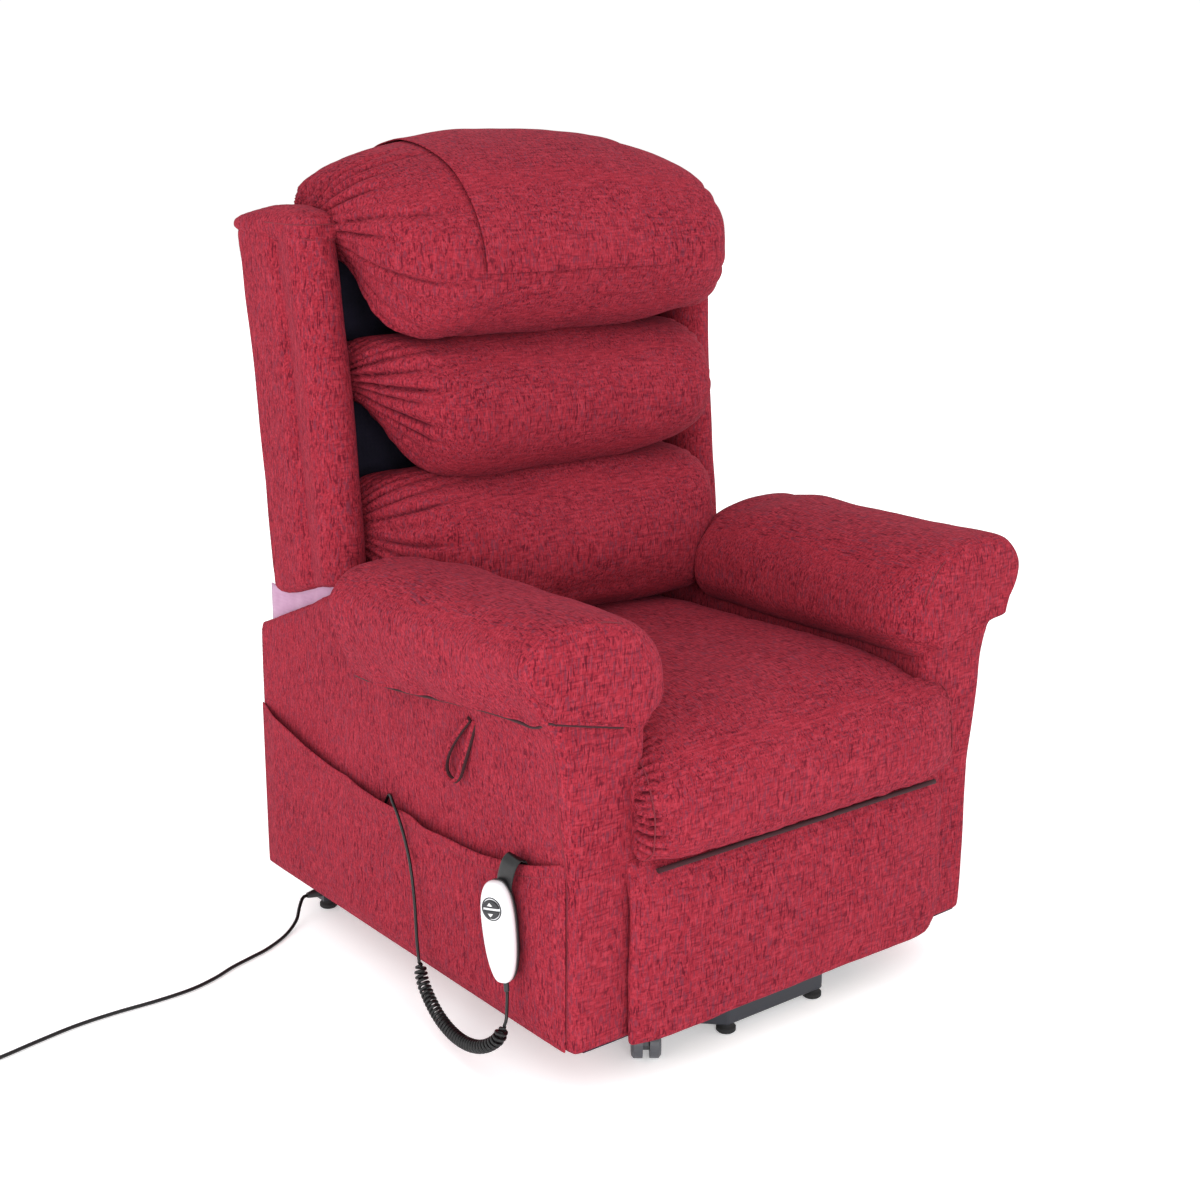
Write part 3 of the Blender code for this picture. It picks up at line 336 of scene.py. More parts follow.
def apply_modifiers(item):
    depsgraph = bpy.context.evaluated_depsgraph_get()
    mesh = bpy.data.meshes.new_from_object(item.evaluated_get(depsgraph))
    old = item.data
    item.modifiers.clear()
    item.data = mesh
    mesh.name = item.name
    bpy.data.meshes.remove(old)
    mesh.polygons.foreach_set("use_smooth", [True] * len(mesh.polygons))
    return item


def subdivided(item, levels=1):
    made = item.modifiers.new("smooth", "SUBSURF")
    made.levels = made.render_levels = levels
    return apply_modifiers(item)


def thickened(item, thickness, offset):
    made = item.modifiers.new("thick", "SOLIDIFY")
    made.thickness, made.offset = thickness, offset
    return apply_modifiers(item)


def dress(item, body, replaced=None):
    """Hangs a piece on its body and hides the CAD node it replaces."""
    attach(item, body)
    if replaced:
        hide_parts(replaced)


def remeshed(item, voxel):
    made = item.modifiers.new("voxels", "REMESH")
    made.mode = "VOXEL"
    made.voxel_size = voxel
    made.use_smooth_shade = True
    return apply_modifiers(item)


def puffed(item, voxel, cap, pressure=4.0, frames=20):
    """Cloth inflated from inside without gravity; no point moves further than cap."""
    remeshed(item, voxel)
    before = np.array([v.co for v in item.data.vertices])
    made = item.modifiers.new("cloth", "CLOTH")
    cloth = made.settings
    cloth.quality = 5
    cloth.mass = 0.3
    cloth.tension_stiffness = cloth.compression_stiffness = 12
    cloth.shear_stiffness = 5
    cloth.bending_stiffness = 0.4
    cloth.use_pressure = True
    cloth.uniform_pressure_force = pressure
    cloth.effector_weights.gravity = 0.0
    made.collision_settings.use_collision = False
    scene = bpy.context.scene
    made.point_cache.frame_start, made.point_cache.frame_end = 1, frames
    for number in range(1, frames + 1):
        scene.frame_set(number)
    depsgraph = bpy.context.evaluated_depsgraph_get()
    after = np.array([v.co for v in item.evaluated_get(depsgraph).data.vertices])
    item.modifiers.clear()
    scene.frame_set(1)
    moved = after - before
    length = np.linalg.norm(moved, axis=1, keepdims=True)
    moved *= np.minimum(1.0, cap / np.maximum(length, 1e-9))
    item.data.vertices.foreach_set("co", (before + moved).astype(np.float32).ravel())
    item.data.update()
    return item


def wave(value, seed):
    """Smooth noise along one number, about -1 to 1."""
    return noise.noise(Vector((value, seed * 7.31, seed * 3.17))) * 1.6


def softness(p, seed, size=0.09, height=0.002):
    """Broad unevenness of padding under the cloth, with a finer ripple on top."""
    q = Vector(p) / size + Vector((seed * 5.1, seed * 2.7, seed))
    return height * noise.noise(q) + 0.35 * height * noise.noise(q * 2.6)


def gathers(distance, along, seed, reach=0.06, depth=0.004, pitch=0.017):
    """Pleats that run away from a seam: distance from the seam, along it, and how far they reach."""
    if distance > reach * 1.6 or distance < -0.02:
        return 0.0
    stray = along + 0.004 * wave(along / 0.03, seed + 2) + 0.10 * distance * wave(along / 0.05, seed + 4)
    local = reach * (0.75 + 0.6 * wave(along / 0.022, seed + 1))
    fade = smoothstep(local, 0.0, max(distance, 0.0))
    strength = 0.65 + 0.5 * wave(along / 0.028, seed + 3)
    fold = 0.30 - (1 - abs(math.sin(math.pi * stray / pitch))) ** 1.2
    return depth * strength * fade * fold


SEAM_STEP, SEAM_SHARE, SEAM_SUNK = 0.0035, 0.62, 0.0004


def thread(name, points, body, radius=0.0011, material=None, closed=False):
    """Stitched seam: a fine cord with stitch marks along it, half sunk into the cloth."""
    line = curve_points(points, SEAM_STEP, closed)
    return tube(name, line, radius * SEAM_SHARE, material or DARK_THREAD, body, 5, closed, beads=0.28)


def tube(name, line, radius, material, body, sides=10, closed=False, beads=0.0):
    """Round tube along a line of points in the chair's own frame, without twist."""
    count = len(line)
    rings = []
    across = None
    for i, p in enumerate(line):
        before = line[i - 1] if (i or closed) else line[0]
        after = line[(i + 1) % count] if (closed or i < count - 1) else line[-1]
        ahead = (after - before).normalized()
        if across is None:
            across = ahead.orthogonal().normalized()
        across = (across - ahead * across.dot(ahead)).normalized()
        other = ahead.cross(across)
        r = radius * (1 + beads * (i % 2))
        ring = [p + (across * math.cos(a) + other * math.sin(a)) * r
                for a in (2 * math.pi * k / sides for k in range(sides))]
        rings.append(ring)
    if closed:
        rings.append(rings[0])
    mesh = skin(name, rings, ends=not closed)
    return piece(name, mesh, material, body)


def on_surface(item, points, lift=0.0):
    """The points moved onto a piece's surface, lifted along its normal."""
    tree = BVHTree.FromObject(item, bpy.context.evaluated_depsgraph_get())
    out = []
    for p in points:
        place, normal, *_ = tree.find_nearest(at(*p))
        out.append(place + normal * (lift - SEAM_SUNK) - Vector((0, SHIFT, 0)))
    return out


def arch(middle, radius, start, end, count):
    """Arc of count + 1 points in a plane, angles in degrees."""
    angles = [math.radians(mix(start, end, k / count)) for k in range(count + 1)]
    return [(middle[0] + radius * math.cos(a), middle[1] + radius * math.sin(a)) for a in angles]


# ---- back pillows -------------------------------------------------------------------------------
def pillow(name, outline, half, anchor, seed, ends, taper, foot, rise):
    """Bolster across the back. Its (y, z) outline shrinks towards the anchor at both ends, where it is
    gathered to the lining. taper says how late it shrinks: in depth, below the anchor and above it. ends
    are the (reach, depth) of the gathers, foot the share of the width left at the bottom edge, both right
    then left; rise is the share by which the bottom edge rises towards the left end."""
    lowest = min(p[1] for p in outline)
    section = curve_points([(0.0, *p) for p in outline], 0.012, closed=True)
    rings = []
    steps = 56
    for k in range(steps + 1):
        u = math.sin(math.pi / 2 * (2 * k / steps - 1) * 0.985)
        deep, under, over = (max(1 - abs(u) ** power, 0.0) ** 0.5 for power in taper)
        deep, under, over = 0.06 + 0.94 * deep, 0.12 + 0.88 * under, 0.12 + 0.88 * over
        ring = []
        for p in section:
            y = anchor[0] + (p.y - anchor[0]) * deep
            rear = smoothstep(0.12, 0.24, p.y)
            low = mix(under, 0.30 + 0.70 * (1 - abs(u) ** 2.6), rear)
            low *= 1 - rise * smoothstep(0.3, 1.0, u)
            z = anchor[1] + (p.z - anchor[1]) * (over if p.z > anchor[1] else low)
            narrow = 1 - foot[0 if u < 0 else 1]
            sunk = min(max((anchor[1] - p.z) / (anchor[1] - lowest), 0.0), 1.0)
            ring.append((u * half * (1 - narrow * sunk), y, z))
        rings.append(ring)
    item = piece(f"{name}_padded", skin(name, rings), FABRIC)
    puffed(item, 0.007, 0.010)
    subdivided(item)

    def folds(p, normal):
        near = ends[0] if p.x < 0 else ends[1]
        around = math.atan2(p.z - anchor[1], anchor[0] - p.y) * 0.14
        distance = half - abs(p.x) - 0.004
        amount = softness(p, seed, 0.10, 0.0030)
        return amount + gathers(distance, around, seed + (3 if p.x < 0 else 9), near[0], near[1], 0.021)

    displaced(item, folds)
    dress(item, "back", name)
    return item


def back_pillows():
    head = [(0.286, 0.952), (0.215, 0.918), (0.125, 0.909), (0.070, 0.934), (0.046, 0.995), (0.058, 1.070),
            (0.106, 1.136), (0.180, 1.176), (0.262, 1.187), (0.336, 1.170), (0.371, 1.137), (0.368, 1.108),
            (0.322, 1.106), (0.300, 1.050)]
    top = pillow("head_pillow", head, 0.340, (0.285, 1.062), 1,
                 ((0.170, 0.0130), (0.120, 0.0090)), (8.0, 14.0, 2.3), (0.87, 1.0), 0.10)
    middle = [(0.290, 0.820), (0.262, 0.898), (0.165, 0.908), (0.078, 0.878), (0.046, 0.806), (0.070, 0.738),
              (0.145, 0.704), (0.255, 0.716)]
    pillow("middle_bolster", middle, 0.312, (0.265, 0.850), 2,
           ((0.160, 0.0150), (0.100, 0.0090)), (8.0, 12.0, 14.0), (0.80, 1.0), 0.20)
    lumbar = [(0.270, 0.560), (0.225, 0.487), (0.110, 0.480), (0.048, 0.505), (0.036, 0.570), (0.044, 0.645),
              (0.085, 0.694), (0.170, 0.708), (0.262, 0.700), (0.278, 0.630)]
    pillow("lumbar_bolster", lumbar, 0.306, (0.250, 0.630), 3,
           ((0.150, 0.0120), (0.090, 0.0070)), (10.0, 16.0, 16.0), (0.97, 1.0), 0.0)
    return top


def head_cover(under):
    """Loose head cover laid over the pillow: a hemmed cloth with a free, slightly lifted edge."""
    left, right = -0.186, 0.152
    route = [(0.372, 1.100), (0.382, 1.140), (0.338, 1.178), (0.262, 1.192), (0.180, 1.183), (0.104, 1.143),
             (0.052, 1.078), (0.040, 1.008)]
    line = curve_points([(0.0, *p) for p in route], 0.006)
    tree = BVHTree.FromObject(under, bpy.context.evaluated_depsgraph_get())
    rings = []
    columns = 66
    for k in range(columns + 1):
        share = k / columns
        row = []
        for i, p in enumerate(line):
            down = i / (len(line) - 1)
            x = mix(left, right, share) + 0.004 * wave(down * 3, 5 if share < 0.5 else 6) * abs(2 * share - 1)
            x += 0.010 * (1 - down) * (1 if share > 0.5 else -0.4) * abs(2 * share - 1)
            place, normal, *_ = tree.find_nearest(at(x, p.y, p.z))
            edge = min(share, 1 - share) * columns / 3
            lift = 0.0022 + 0.0022 * max(0.0, 1 - edge) * (0.5 + 0.5 * wave(down * 6, 8))
            lift += 0.0030 * smoothstep(0.93, 1.0, down) * (0.6 + 0.5 * wave(share * 5, 9))
            lift += 0.0012 * max(0.0, wave(share * 4 + down * 2, 11))
            row.append(tuple(place + normal * lift - Vector((0, SHIFT, 0))))
        rings.append(row)
    mesh = skin("head_cover_cloth", rings, closed=False, ends=False)
    item = piece("head_cover_cloth", mesh, FABRIC, "back")
    thickened(item, 0.0022, 1.0)
    subdivided(item)
    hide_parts("head_cover")
    edges = {
        "right": [Vector(p) for p in rings[2]],
        "left": [Vector(p) for p in rings[-3]],
        "hem": [Vector(ring[-4]) for ring in rings],
    }
    for name, points in edges.items():
        stitched = on_surface(item, points[:: max(len(points) // 24, 1)], 0.0002)
        thread(f"head_cover_stitch_{name}", stitched, "back", 0.0008)
    return item


# ---- wings and outside back ---------------------------------------------------------------------
WING_REAR, WING_ROLL, WING_LEAN, WING_FLARE = 0.338, 0.188, 0.056, 0.010


def wing(side):
    """Side wing: a flat padded board, a soft groove, a fat front roll and a capped top."""
    name = side_name(side)
    x_out, x_in, roll = 0.372, 0.302, 0.0365
    low_front, low_rear, top = 0.560, 0.520, 1.080
    rings = []
    steps = 64
    for k in range(steps + 1):
        up = k / steps
        rear_y, roll_y = WING_REAR + WING_LEAN * up, WING_ROLL + WING_LEAN * up
        flare = WING_FLARE * up**3
        over = max(0.0, (up - 0.94) / 0.06)
        shrink = max(1 - over**2.4, 0.0) ** 0.5 * 0.7 + 0.3 if over else 1.0
        foot = max(0.0, (0.02 - up) / 0.02)
        shrink *= 1 - 0.22 * foot**2
        outline = [(x_in, rear_y), (x_in + 0.002, (rear_y + roll_y) / 2), (x_in, roll_y + 0.02)]
        outline += [(x, roll_y + 0.006 + 1.22 * (y - roll_y))
                    for x, y in arch((x_out - roll + 0.003, roll_y), roll, 180, 352, 14)]
        outline += [(x_out - 0.0045, roll_y + 0.034), (x_out - 0.0095, roll_y + 0.047),
                    (x_out, roll_y + 0.060)]
        outline += [(x_out + 0.0015, (rear_y + roll_y) / 2 + 0.02), (x_out - 0.001, rear_y - 0.004)]
        outline += [(x_out - 0.008, rear_y + 0.003)]
        line = curve_points([(x, y, 0.0) for x, y in outline], 0.006, closed=True)
        centre = sum(line, Vector()) / len(line)
        ring = []
        for p in line:
            q = centre + (p - centre) * shrink
            low = mix(low_front, low_rear, (p.y - roll_y) / (rear_y - roll_y))
            low = min(max(low, low_rear), low_front)
            ring.append((side * (q.x + flare), q.y, mix(low, top, up)))
        rings.append(ring)
    count = min(len(ring) for ring in rings)
    rings = [resample(ring, count) for ring in rings]
    item = piece(f"wing_padded_{name}", skin(f"wing_padded_{name}", rings), FABRIC)

    def wrinkles(p, normal):
        up = (p.z - 0.55) / 0.53
        amount = softness(p, 12 + side, 0.12, 0.0022)
        pull = gathers(0.93 - up, p.y + p.x, 20 + side, 0.10, 0.0022, 0.020) * smoothstep(0.99, 0.93, up)
        return amount + pull

    displaced(item, wrinkles)
    subdivided(item)
    dress(item, "back", f"wing_{name}")
    wing_cap(side, item)
    rear = [(side * (x_out - 0.004 + WING_FLARE * (k / 20) ** 3), WING_REAR + WING_LEAN * k / 20,
             mix(0.53, 1.07, k / 20))
            for k in range(21)]
    thread(f"wing_rear_seam_{name}", on_surface(item, rear, 0.0004), "back", 0.0012)
    return item


def wing_cap(side, under):
    """Cap sewn over the wing's top: it follows the roll in front and stands proud as an ear at the rear."""
    name = side_name(side)
    rings = []
    steps = 40
    for k in range(steps + 1):
        along = k / steps
        turn = math.pi * (along - 0.5)
        y = 0.305 + 0.103 * math.sin(turn) + 0.001
        size = max(math.cos(turn), 0.0) ** 0.45
        size = 0.16 + 0.84 * size
        ear = smoothstep(0.45, 1.0, along)
        front = smoothstep(0.55, 0.0, along)
        x_mid, z_mid = 0.3445 + 0.006 * ear, 1.068 - 0.003 * ear - 0.002 * front
        wide, tall = (0.0395 + 0.006 * ear) * size, (0.0280 - 0.015 * ear + 0.004 * front) * size
        ring = []
        for m in range(40):
            a = 2 * math.pi * m / 40
            c, d = math.cos(a), math.sin(a)
            lift = tall * math.copysign(abs(d) ** 0.85, d)
            ring.append((side * (x_mid + wide * math.copysign(abs(c) ** 0.8, c)), y, z_mid + lift))
        rings.append(ring)
    item = piece(f"wing_cap_{name}", skin(f"wing_cap_{name}", rings), FABRIC)
    remeshed(item, 0.0055)

    def folds(p, normal):
        pleats = gathers(1.062 - p.z + 0.02, p.y + abs(p.x), 27 + side, 0.03, 0.0018, 0.013)
        return softness(p, 25 + side, 0.05, 0.0018) + pleats

    displaced(item, folds)
    subdivided(item)
    dress(item, "back")
    for tag, z, back in (("lower", 1.046, 0.330), ("upper", 1.074, 0.300)):
        front = [(side * (0.3445 + 0.046 * math.cos(a)), 0.236 - 0.045 * math.sin(a), z)
                 for a in (math.radians(t) for t in range(0, 181, 15))]
        front = [(side * 0.3900, back, z)] + front
        thread(f"wing_cap_seam_{tag}_{name}", on_surface(item, front, 0.0003), "back", 0.0013)
    return item


def resample(ring, count):
    points = [Vector(p) for p in ring]
    if len(points) == count:
        return [tuple(p) for p in points]
    total = len(points)
    out = []
    for n in range(count):
        place = n * total / count
        i = int(place)
        out.append(tuple(points[i].lerp(points[(i + 1) % total], place - i)))
    return out


def slab(name, corners, front, thick, material, round_edge=0.008, crown=0.004, rows=48, seed=0):
    """Padded upright panel: a (x, z) outline like a shield, thick in y, crowned at front and back.
    front(x, z) gives its front face's y."""
    outline = curve_points([(x, 0.0, z) for x, z in corners], 0.010, closed=True)
    centre = sum(outline, Vector()) / len(outline)
    profile = [(0.02, 0.0), (0.35, 0.0), (0.70, 0.0), (0.90, 0.0), (0.97, 0.10), (0.995, 0.30), (1.0, 0.5),
               (0.995, 0.70), (0.97, 0.90), (0.90, 1.0), (0.70, 1.0), (0.35, 1.0), (0.02, 1.0)]
    rings = []
    for share, depth in profile:
        ring = []
        for p in outline:
            q = centre + (p - centre) * share
            swell = crown * (1 - share**3) * (1 if depth > 0.5 else -1)
            ring.append((q.x, front(q.x, q.z) + thick * depth + swell, q.z))
        rings.append(ring)
    return piece(name, skin(name, rings), material)


def outside_back():
    """Padded panel over the rear of the back, with a seam down each side."""
    corners = [(-0.225, 0.442), (0.0, 0.440), (0.225, 0.442), (0.232, 0.500), (0.240, 0.560), (0.285, 0.575),
               (0.301, 0.620), (0.303, 0.850), (0.300, 0.985), (0.262, 1.040), (0.190, 1.090), (0.0, 1.100)]
    corners += [(-x, z) for x, z in reversed(corners[3:-1])]
    item = slab("outside_back_panel", corners, lambda x, z: BOARD_Y + LEAN * (z - BOARD_Z) + 0.030, 0.024,
                FABRIC)
    item = remeshed(item, 0.007)
    displaced(item, lambda p, n: softness(p, 31, 0.13, 0.0030))
    subdivided(item)
    dress(item, "back", "outside_back")
    for side in (-1, 1):
        heights = np.linspace(0.585, 1.02, 16)
        line = [(side * 0.272, BOARD_Y + LEAN * (z - BOARD_Z) + 0.060, z) for z in heights]
        thread(f"outside_back_seam_{side_name(side)}", on_surface(item, line, 0.0003), "back", 0.0013)
    return item


# ---- seat and footrest --------------------------------------------------------------------------
def seat_half(side, y):
    """Half width of the seat: between the arms, and swelling in front of them."""
    return mix(0.2545, 0.2860 if side < 0 else 0.3030, smoothstep(-0.402, -0.424, y))


def seat_cushion():
    """Seat cushion: crowned top, waterfall front with its lip over the footrest, gathered at its seams."""
    outline = [(0.205, 0.345), (0.216, 0.400), (0.200, 0.462), (0.100, 0.476), (-0.100, 0.486),
               (-0.250, 0.489), (-0.340, 0.483), (-0.398, 0.466), (-0.434, 0.434), (-0.4475, 0.395),
               (-0.4500, 0.352), (-0.4470, 0.322), (-0.4300, 0.302), (-0.402, 0.304), (-0.382, 0.334),
               (-0.300, 0.336), (0.0, 0.336)]
    section = curve_points([(0.0, *p) for p in outline], 0.009, closed=True)
    centre = Vector((0.0, -0.12, 0.41))
    rings = []
    steps = 60
    for k in range(steps + 1):
        v = 2 * k / steps - 1
        u = math.copysign(1 - (1 - abs(v)) ** 1.5, v)
        ring = []
        for p in section:
            half = seat_half(u, p.y)
            round_off = 1 - max(1 - abs(u) ** 6, 0.0) ** 0.5
            inward = Vector((0.0, -0.30 if p.y < -0.3 else p.y, 0.40)) - p
            inward = inward.normalized() * min(0.036 * round_off, inward.length)
            crown = -0.005 * abs(u) ** 2 if p.z > 0.43 else 0.0
            ring.append((half * (u if abs(u) < 1 else math.copysign(1, u)), p.y + inward.y,
                         p.z + inward.z + crown))
        rings.append(ring)
    item = piece("seat_cushion_padded", skin("seat_cushion_padded", rings), FABRIC)
    puffed(item, 0.007, 0.006)
    subdivided(item)

    def folds(p, normal):
        half = seat_half(p.x, p.y)
        distance = half - abs(p.x) - 0.002
        amount = softness(p, 41, 0.12, 0.0032)
        if p.y < -0.33 or p.z < 0.47:
            along = math.atan2(p.z - 0.39, -p.y - 0.36) * 0.10
            amount += gathers(distance, along, 43 if p.x < 0 else 47, 0.085 if p.x < 0 else 0.04,
                              0.0150 if p.x < 0 else 0.006, 0.017)
        under = smoothstep(0.335, 0.315, p.z) * smoothstep(-0.38, -0.42, p.y)
        return amount + 0.0016 * under * wave(p.x / 0.02, 48)

    displaced(item, folds)
    dress(item, "chassis", "seat_cushion")
    for side in (-1, 1):
        x = side * (0.296 if side > 0 else 0.275)
        line = [(x, y, z) for y, z in ((-0.405, 0.462), (-0.432, 0.432), (-0.446, 0.392),
                                       (-0.446, 0.350), (-0.438, 0.318), (-0.420, 0.304))]
        thread(f"seat_front_seam_{side_name(side)}", on_surface(item, line, 0.0003), "chassis", 0.0014)
    return item


def footrest_pad():
    """Front panel that rises as the footrest: softly padded, with slightly pointed lower corners."""
    outline = [(-0.2900, 0.308), (-0.2900, 0.180), (-0.2900, 0.074), (-0.280, 0.0600), (-0.150, 0.0600),
               (0.0, 0.0605), (0.150, 0.0600), (0.268, 0.0595), (0.285, 0.071), (0.2970, 0.094),
               (0.2970, 0.180), (0.2960, 0.306), (0.288, 0.3155), (0.0, 0.318), (-0.282, 0.3165)]

    def front(x, z):
        return -0.4265 + 0.008 * smoothstep(0.22, 0.300, abs(x)) + 0.015 * smoothstep(0.255, 0.318, z)

    item = slab("footrest_panel", outline, front, 0.017, FABRIC, crown=0.0045)
    remeshed(item, 0.0065)

    def ripple(p, normal):
        edge = min(0.298 - abs(p.x), p.z - 0.058)
        amount = softness(p, 52, 0.11, 0.0026)
        return amount + gathers(edge, p.x + p.z, 55, 0.020, 0.0005, 0.020)

    displaced(item, ripple)
    subdivided(item)
    # painted shadow: a dark strip along the shade line under the seat's lip, above the footrest
    gap = [(x, -0.4232, 0.3015) for x in np.linspace(-0.254, 0.264, 20)]
    tube("seat_lip_painted_shadow", curve_points(gap, 0.01), 0.0036, PAINTED_SHADOW, "chassis", 8)
    dress(item, "footrest", "footrest_pad")
    return item


# ---- arms ---------------------------------------------------------------------------------------
ROLL = [(0.262, 0.474), (0.226, 0.494), (0.2135, 0.527), (0.222, 0.574), (0.258, 0.611), (0.316, 0.629),
        (0.372, 0.633), (0.412, 0.627), (0.438, 0.605), (0.442, 0.578), (0.426, 0.540), (0.396, 0.502),
        (0.366, 0.474)]


def bulge(z, y):
    """Outer face of the arm, which leans out above the pocket towards the front."""
    return ARM_OUT + 0.014 * smoothstep(0.28, 0.44, z) * smoothstep(0.22, -0.20, y)


def rear_deck(y):
    """Height of the arm's sloped deck behind the roll, at its outer edge."""
    return min(0.572, 0.563 - 0.418 * (y - 0.159))


def arm_body(side):
    """Upholstered arm below the roll: flat sides, a concave flare under the roll and a sloped rear deck."""
    name = side_name(side)
    rings = []
    stations = []
    for k in range(7):
        turn = math.radians(90 - 15 * k)
        stations.append((-0.4005 + 0.014 * (1 - math.sin(turn)), 1 - 0.22 * (1 - math.cos(turn))))
    stations += [(mix(-0.3865, 0.392, k / 84), 1.0) for k in range(1, 84)]
    stations += [(0.392, 1.0), (0.3965, 0.990), (0.3985, 0.965), (0.3980, 0.92)]
    centre = Vector(((ARM_IN + ARM_OUT) / 2, 0.0, 0.30))
    for y, share in stations:
        deck = mix(0.545, rear_deck(y), smoothstep(0.04, 0.08, y))
        inner_deck = 0.545 if y < 0.055 else mix(0.536, 0.456, (y - 0.055) / 0.345)
        flare = smoothstep(0.075, 0.02, y)
        outline = [(ARM_OUT - 0.004, BODY_BOTTOM), (ARM_OUT, BODY_BOTTOM + 0.006), (ARM_OUT + 0.001, 0.250)]
        outline += [(bulge(z, y), z) for z in (0.300, 0.340, 0.380, 0.430)]
        for k in range(1, 6):
            z = mix(0.430, deck, k / 5)
            outline.append((bulge(z, y) + 0.033 * flare * ((z - 0.430) / 0.115) ** 2, z))
        corner = outline.pop()
        outline += [(corner[0] - 0.001, deck - 0.006), (corner[0] - 0.007, deck)]
        outline += [(ARM_IN + 0.060, mix(deck, inner_deck, 0.35)), (ARM_IN + 0.007, inner_deck)]
        outline += [(ARM_IN, inner_deck - 0.007)]
        outline += [(ARM_IN, 0.400), (ARM_IN, 0.200), (ARM_IN, BODY_BOTTOM + 0.006),
                    (ARM_IN + 0.004, BODY_BOTTOM)]
        line = [Vector((x, 0.0, z)) for x, z in dense(outline, 0.010)]
        ring = []
        for p in line:
            x = centre.x + (p.x - centre.x) * share
            ring.append((side * x, y, p.z + math.copysign(1, centre.z - p.z) * (1 - share) * 0.02))
        rings.append(ring)
    count = min(len(ring) for ring in rings)
    rings = [resample(ring, count) for ring in rings]
    item = piece(f"arm_body_{name}", skin(f"arm_body_{name}", rings), FABRIC)
    remeshed(item, 0.007)

    def ripple(p, normal):
        amount = softness(p, 61 + side, 0.14, 0.0022)
        return amount + 0.0009 * wave(p.y / 0.05 + p.z * 3, 63) * smoothstep(0.36, 0.50, p.z)

    displaced(item, ripple)
    subdivided(item)
    dress(item, "chassis", f"arm_box_{name}")
    front = [(side * bulge(z, -0.384), -0.384, z) for z in np.linspace(BODY_BOTTOM + 0.004, 0.505, 24)]
    thread(f"arm_front_seam_{name}", on_surface(item, front, 0.0003), "chassis", 0.0013)
    rear = [(side * (ARM_OUT - 0.001), 0.396, z) for z in np.linspace(BODY_BOTTOM + 0.004, 0.452, 18)]
    thread(f"arm_rear_seam_{name}", on_surface(item, rear, 0.0003), "chassis", 0.0012)
    base = [(side * (ARM_OUT - 0.0005), y, BODY_BOTTOM + 0.0015) for y in np.linspace(-0.398, 0.396, 30)]
    turned = [(side * x, -0.3995, BODY_BOTTOM + 0.0015) for x in (ARM_IN + 0.018, 0.31, ARM_OUT - 0.018)]
    base = turned + base[1:]
    tube(f"arm_hem_trim_{name}", on_surface(item, base, 0.0004), 0.0013, LINING, "chassis", 6)
    return item


def dense(outline, step):
    """A closed outline with straight stretches kept, split into short steps."""
    out = []
    for i, a in enumerate(outline):
        b = outline[(i + 1) % len(outline)]
        pieces = max(int(math.dist(a, b) / step), 1)
        out += [(mix(a[0], b[0], k / pieces), mix(a[1], b[1], k / pieces)) for k in range(pieces)]
    return out


ROLL_MIDDLE = Vector((0.328, 0.0, 0.548))


def eased(x, y):
    """The roll's inner side turns into the front face in a wide curve; x counts from the middle plane."""
    turn = min(max((-0.335 - y) / 0.072, 0.0), 1.0)
    inner = min(max((0.305 - x) / 0.09, 0.0), 1.0)
    return x + 0.042 * (1 - math.sqrt(1 - turn**2)) * inner


def roll_ring(side, y, across, up, outline):
    """The roll's outline at y, shrunk about its middle."""
    ring = []
    for p in outline:
        d = Vector((p.x - ROLL_MIDDLE.x, 0.0, p.z - ROLL_MIDDLE.z))
        ring.append((side * eased(ROLL_MIDDLE.x + d.x * across, y), y, ROLL_MIDDLE.z + d.z * up))
    return ring


def arm_roll(side):
    """Padded roll under the loose cover: its rear end shows, rounded down to the deck."""
    name = side_name(side)
    outline = curve_points([(x, 0.0, z) for x, z in ROLL], 0.009, closed=True)
    rings = []
    for y, across, up in ((-0.392, 0.55, 0.55), (-0.399, 0.85, 0.85), (-0.3995, 0.93, 0.93),
                          (-0.396, 0.97, 0.97)):
        rings.append(roll_ring(side, y, across, up, outline))
    for k in range(1, 40):
        rings.append(roll_ring(side, mix(-0.396, 0.030, k / 40), 0.985, 0.985, outline))
    for k in range(10):
        turn = math.radians(9 * k)
        size = math.cos(turn) ** 0.55
        rings.append(roll_ring(side, 0.030 + 0.062 * math.sin(turn), 0.985 * max(size, 0.2),
                               0.985 * max(size, 0.2), outline))
    item = piece(f"arm_roll_{name}", skin(f"arm_roll_{name}", rings), FABRIC)
    remeshed(item, 0.008)

    def folds(p, normal):
        around = math.atan2(p.z - 0.55, p.x * side - 0.33) * 0.09
        return softness(p, 71, 0.10, 0.0025) + gathers(0.092 - p.y, around, 73, 0.05, 0.0030)

    displaced(item, folds)
    subdivided(item)
    dress(item, "chassis", f"arm_pad_{name}")
    return item


def cover_section(y, count):
    """The loose cover's open section at y, from its inner hem over the roll to its outer hem."""
    front = smoothstep(-0.22, -0.40, y)
    inner = [(0.258, 0.476), (0.236, 0.486), (0.2160, 0.506), (0.2095, 0.530), (0.2180, 0.576),
             (0.2560, 0.6145)]
    lift = 0.004 * front
    top = [(0.316, 0.6330 + lift), (0.372, 0.6370 + lift), (0.413, 0.6310 + lift), (0.441, 0.607)]
    outer = [(mix(0.4465, 0.4400, front), 0.580), (mix(0.4360, 0.4250, front), mix(0.530, 0.562, front)),
             (mix(0.4120, 0.4060, front), outer_hem(y))]
    line = curve_points([(x, 0.0, z) for x, z in inner + top + outer], 0.001)
    out = []
    for i in range(count):
        p = line[round(i / (count - 1) * (len(line) - 1))]
        low = mix(0.0, 0.020 * front, smoothstep(0.53, 0.47, p.z)) if p.x < 0.30 else 0.0
        out.append((eased(p.x, y), p.z + low))
    return out


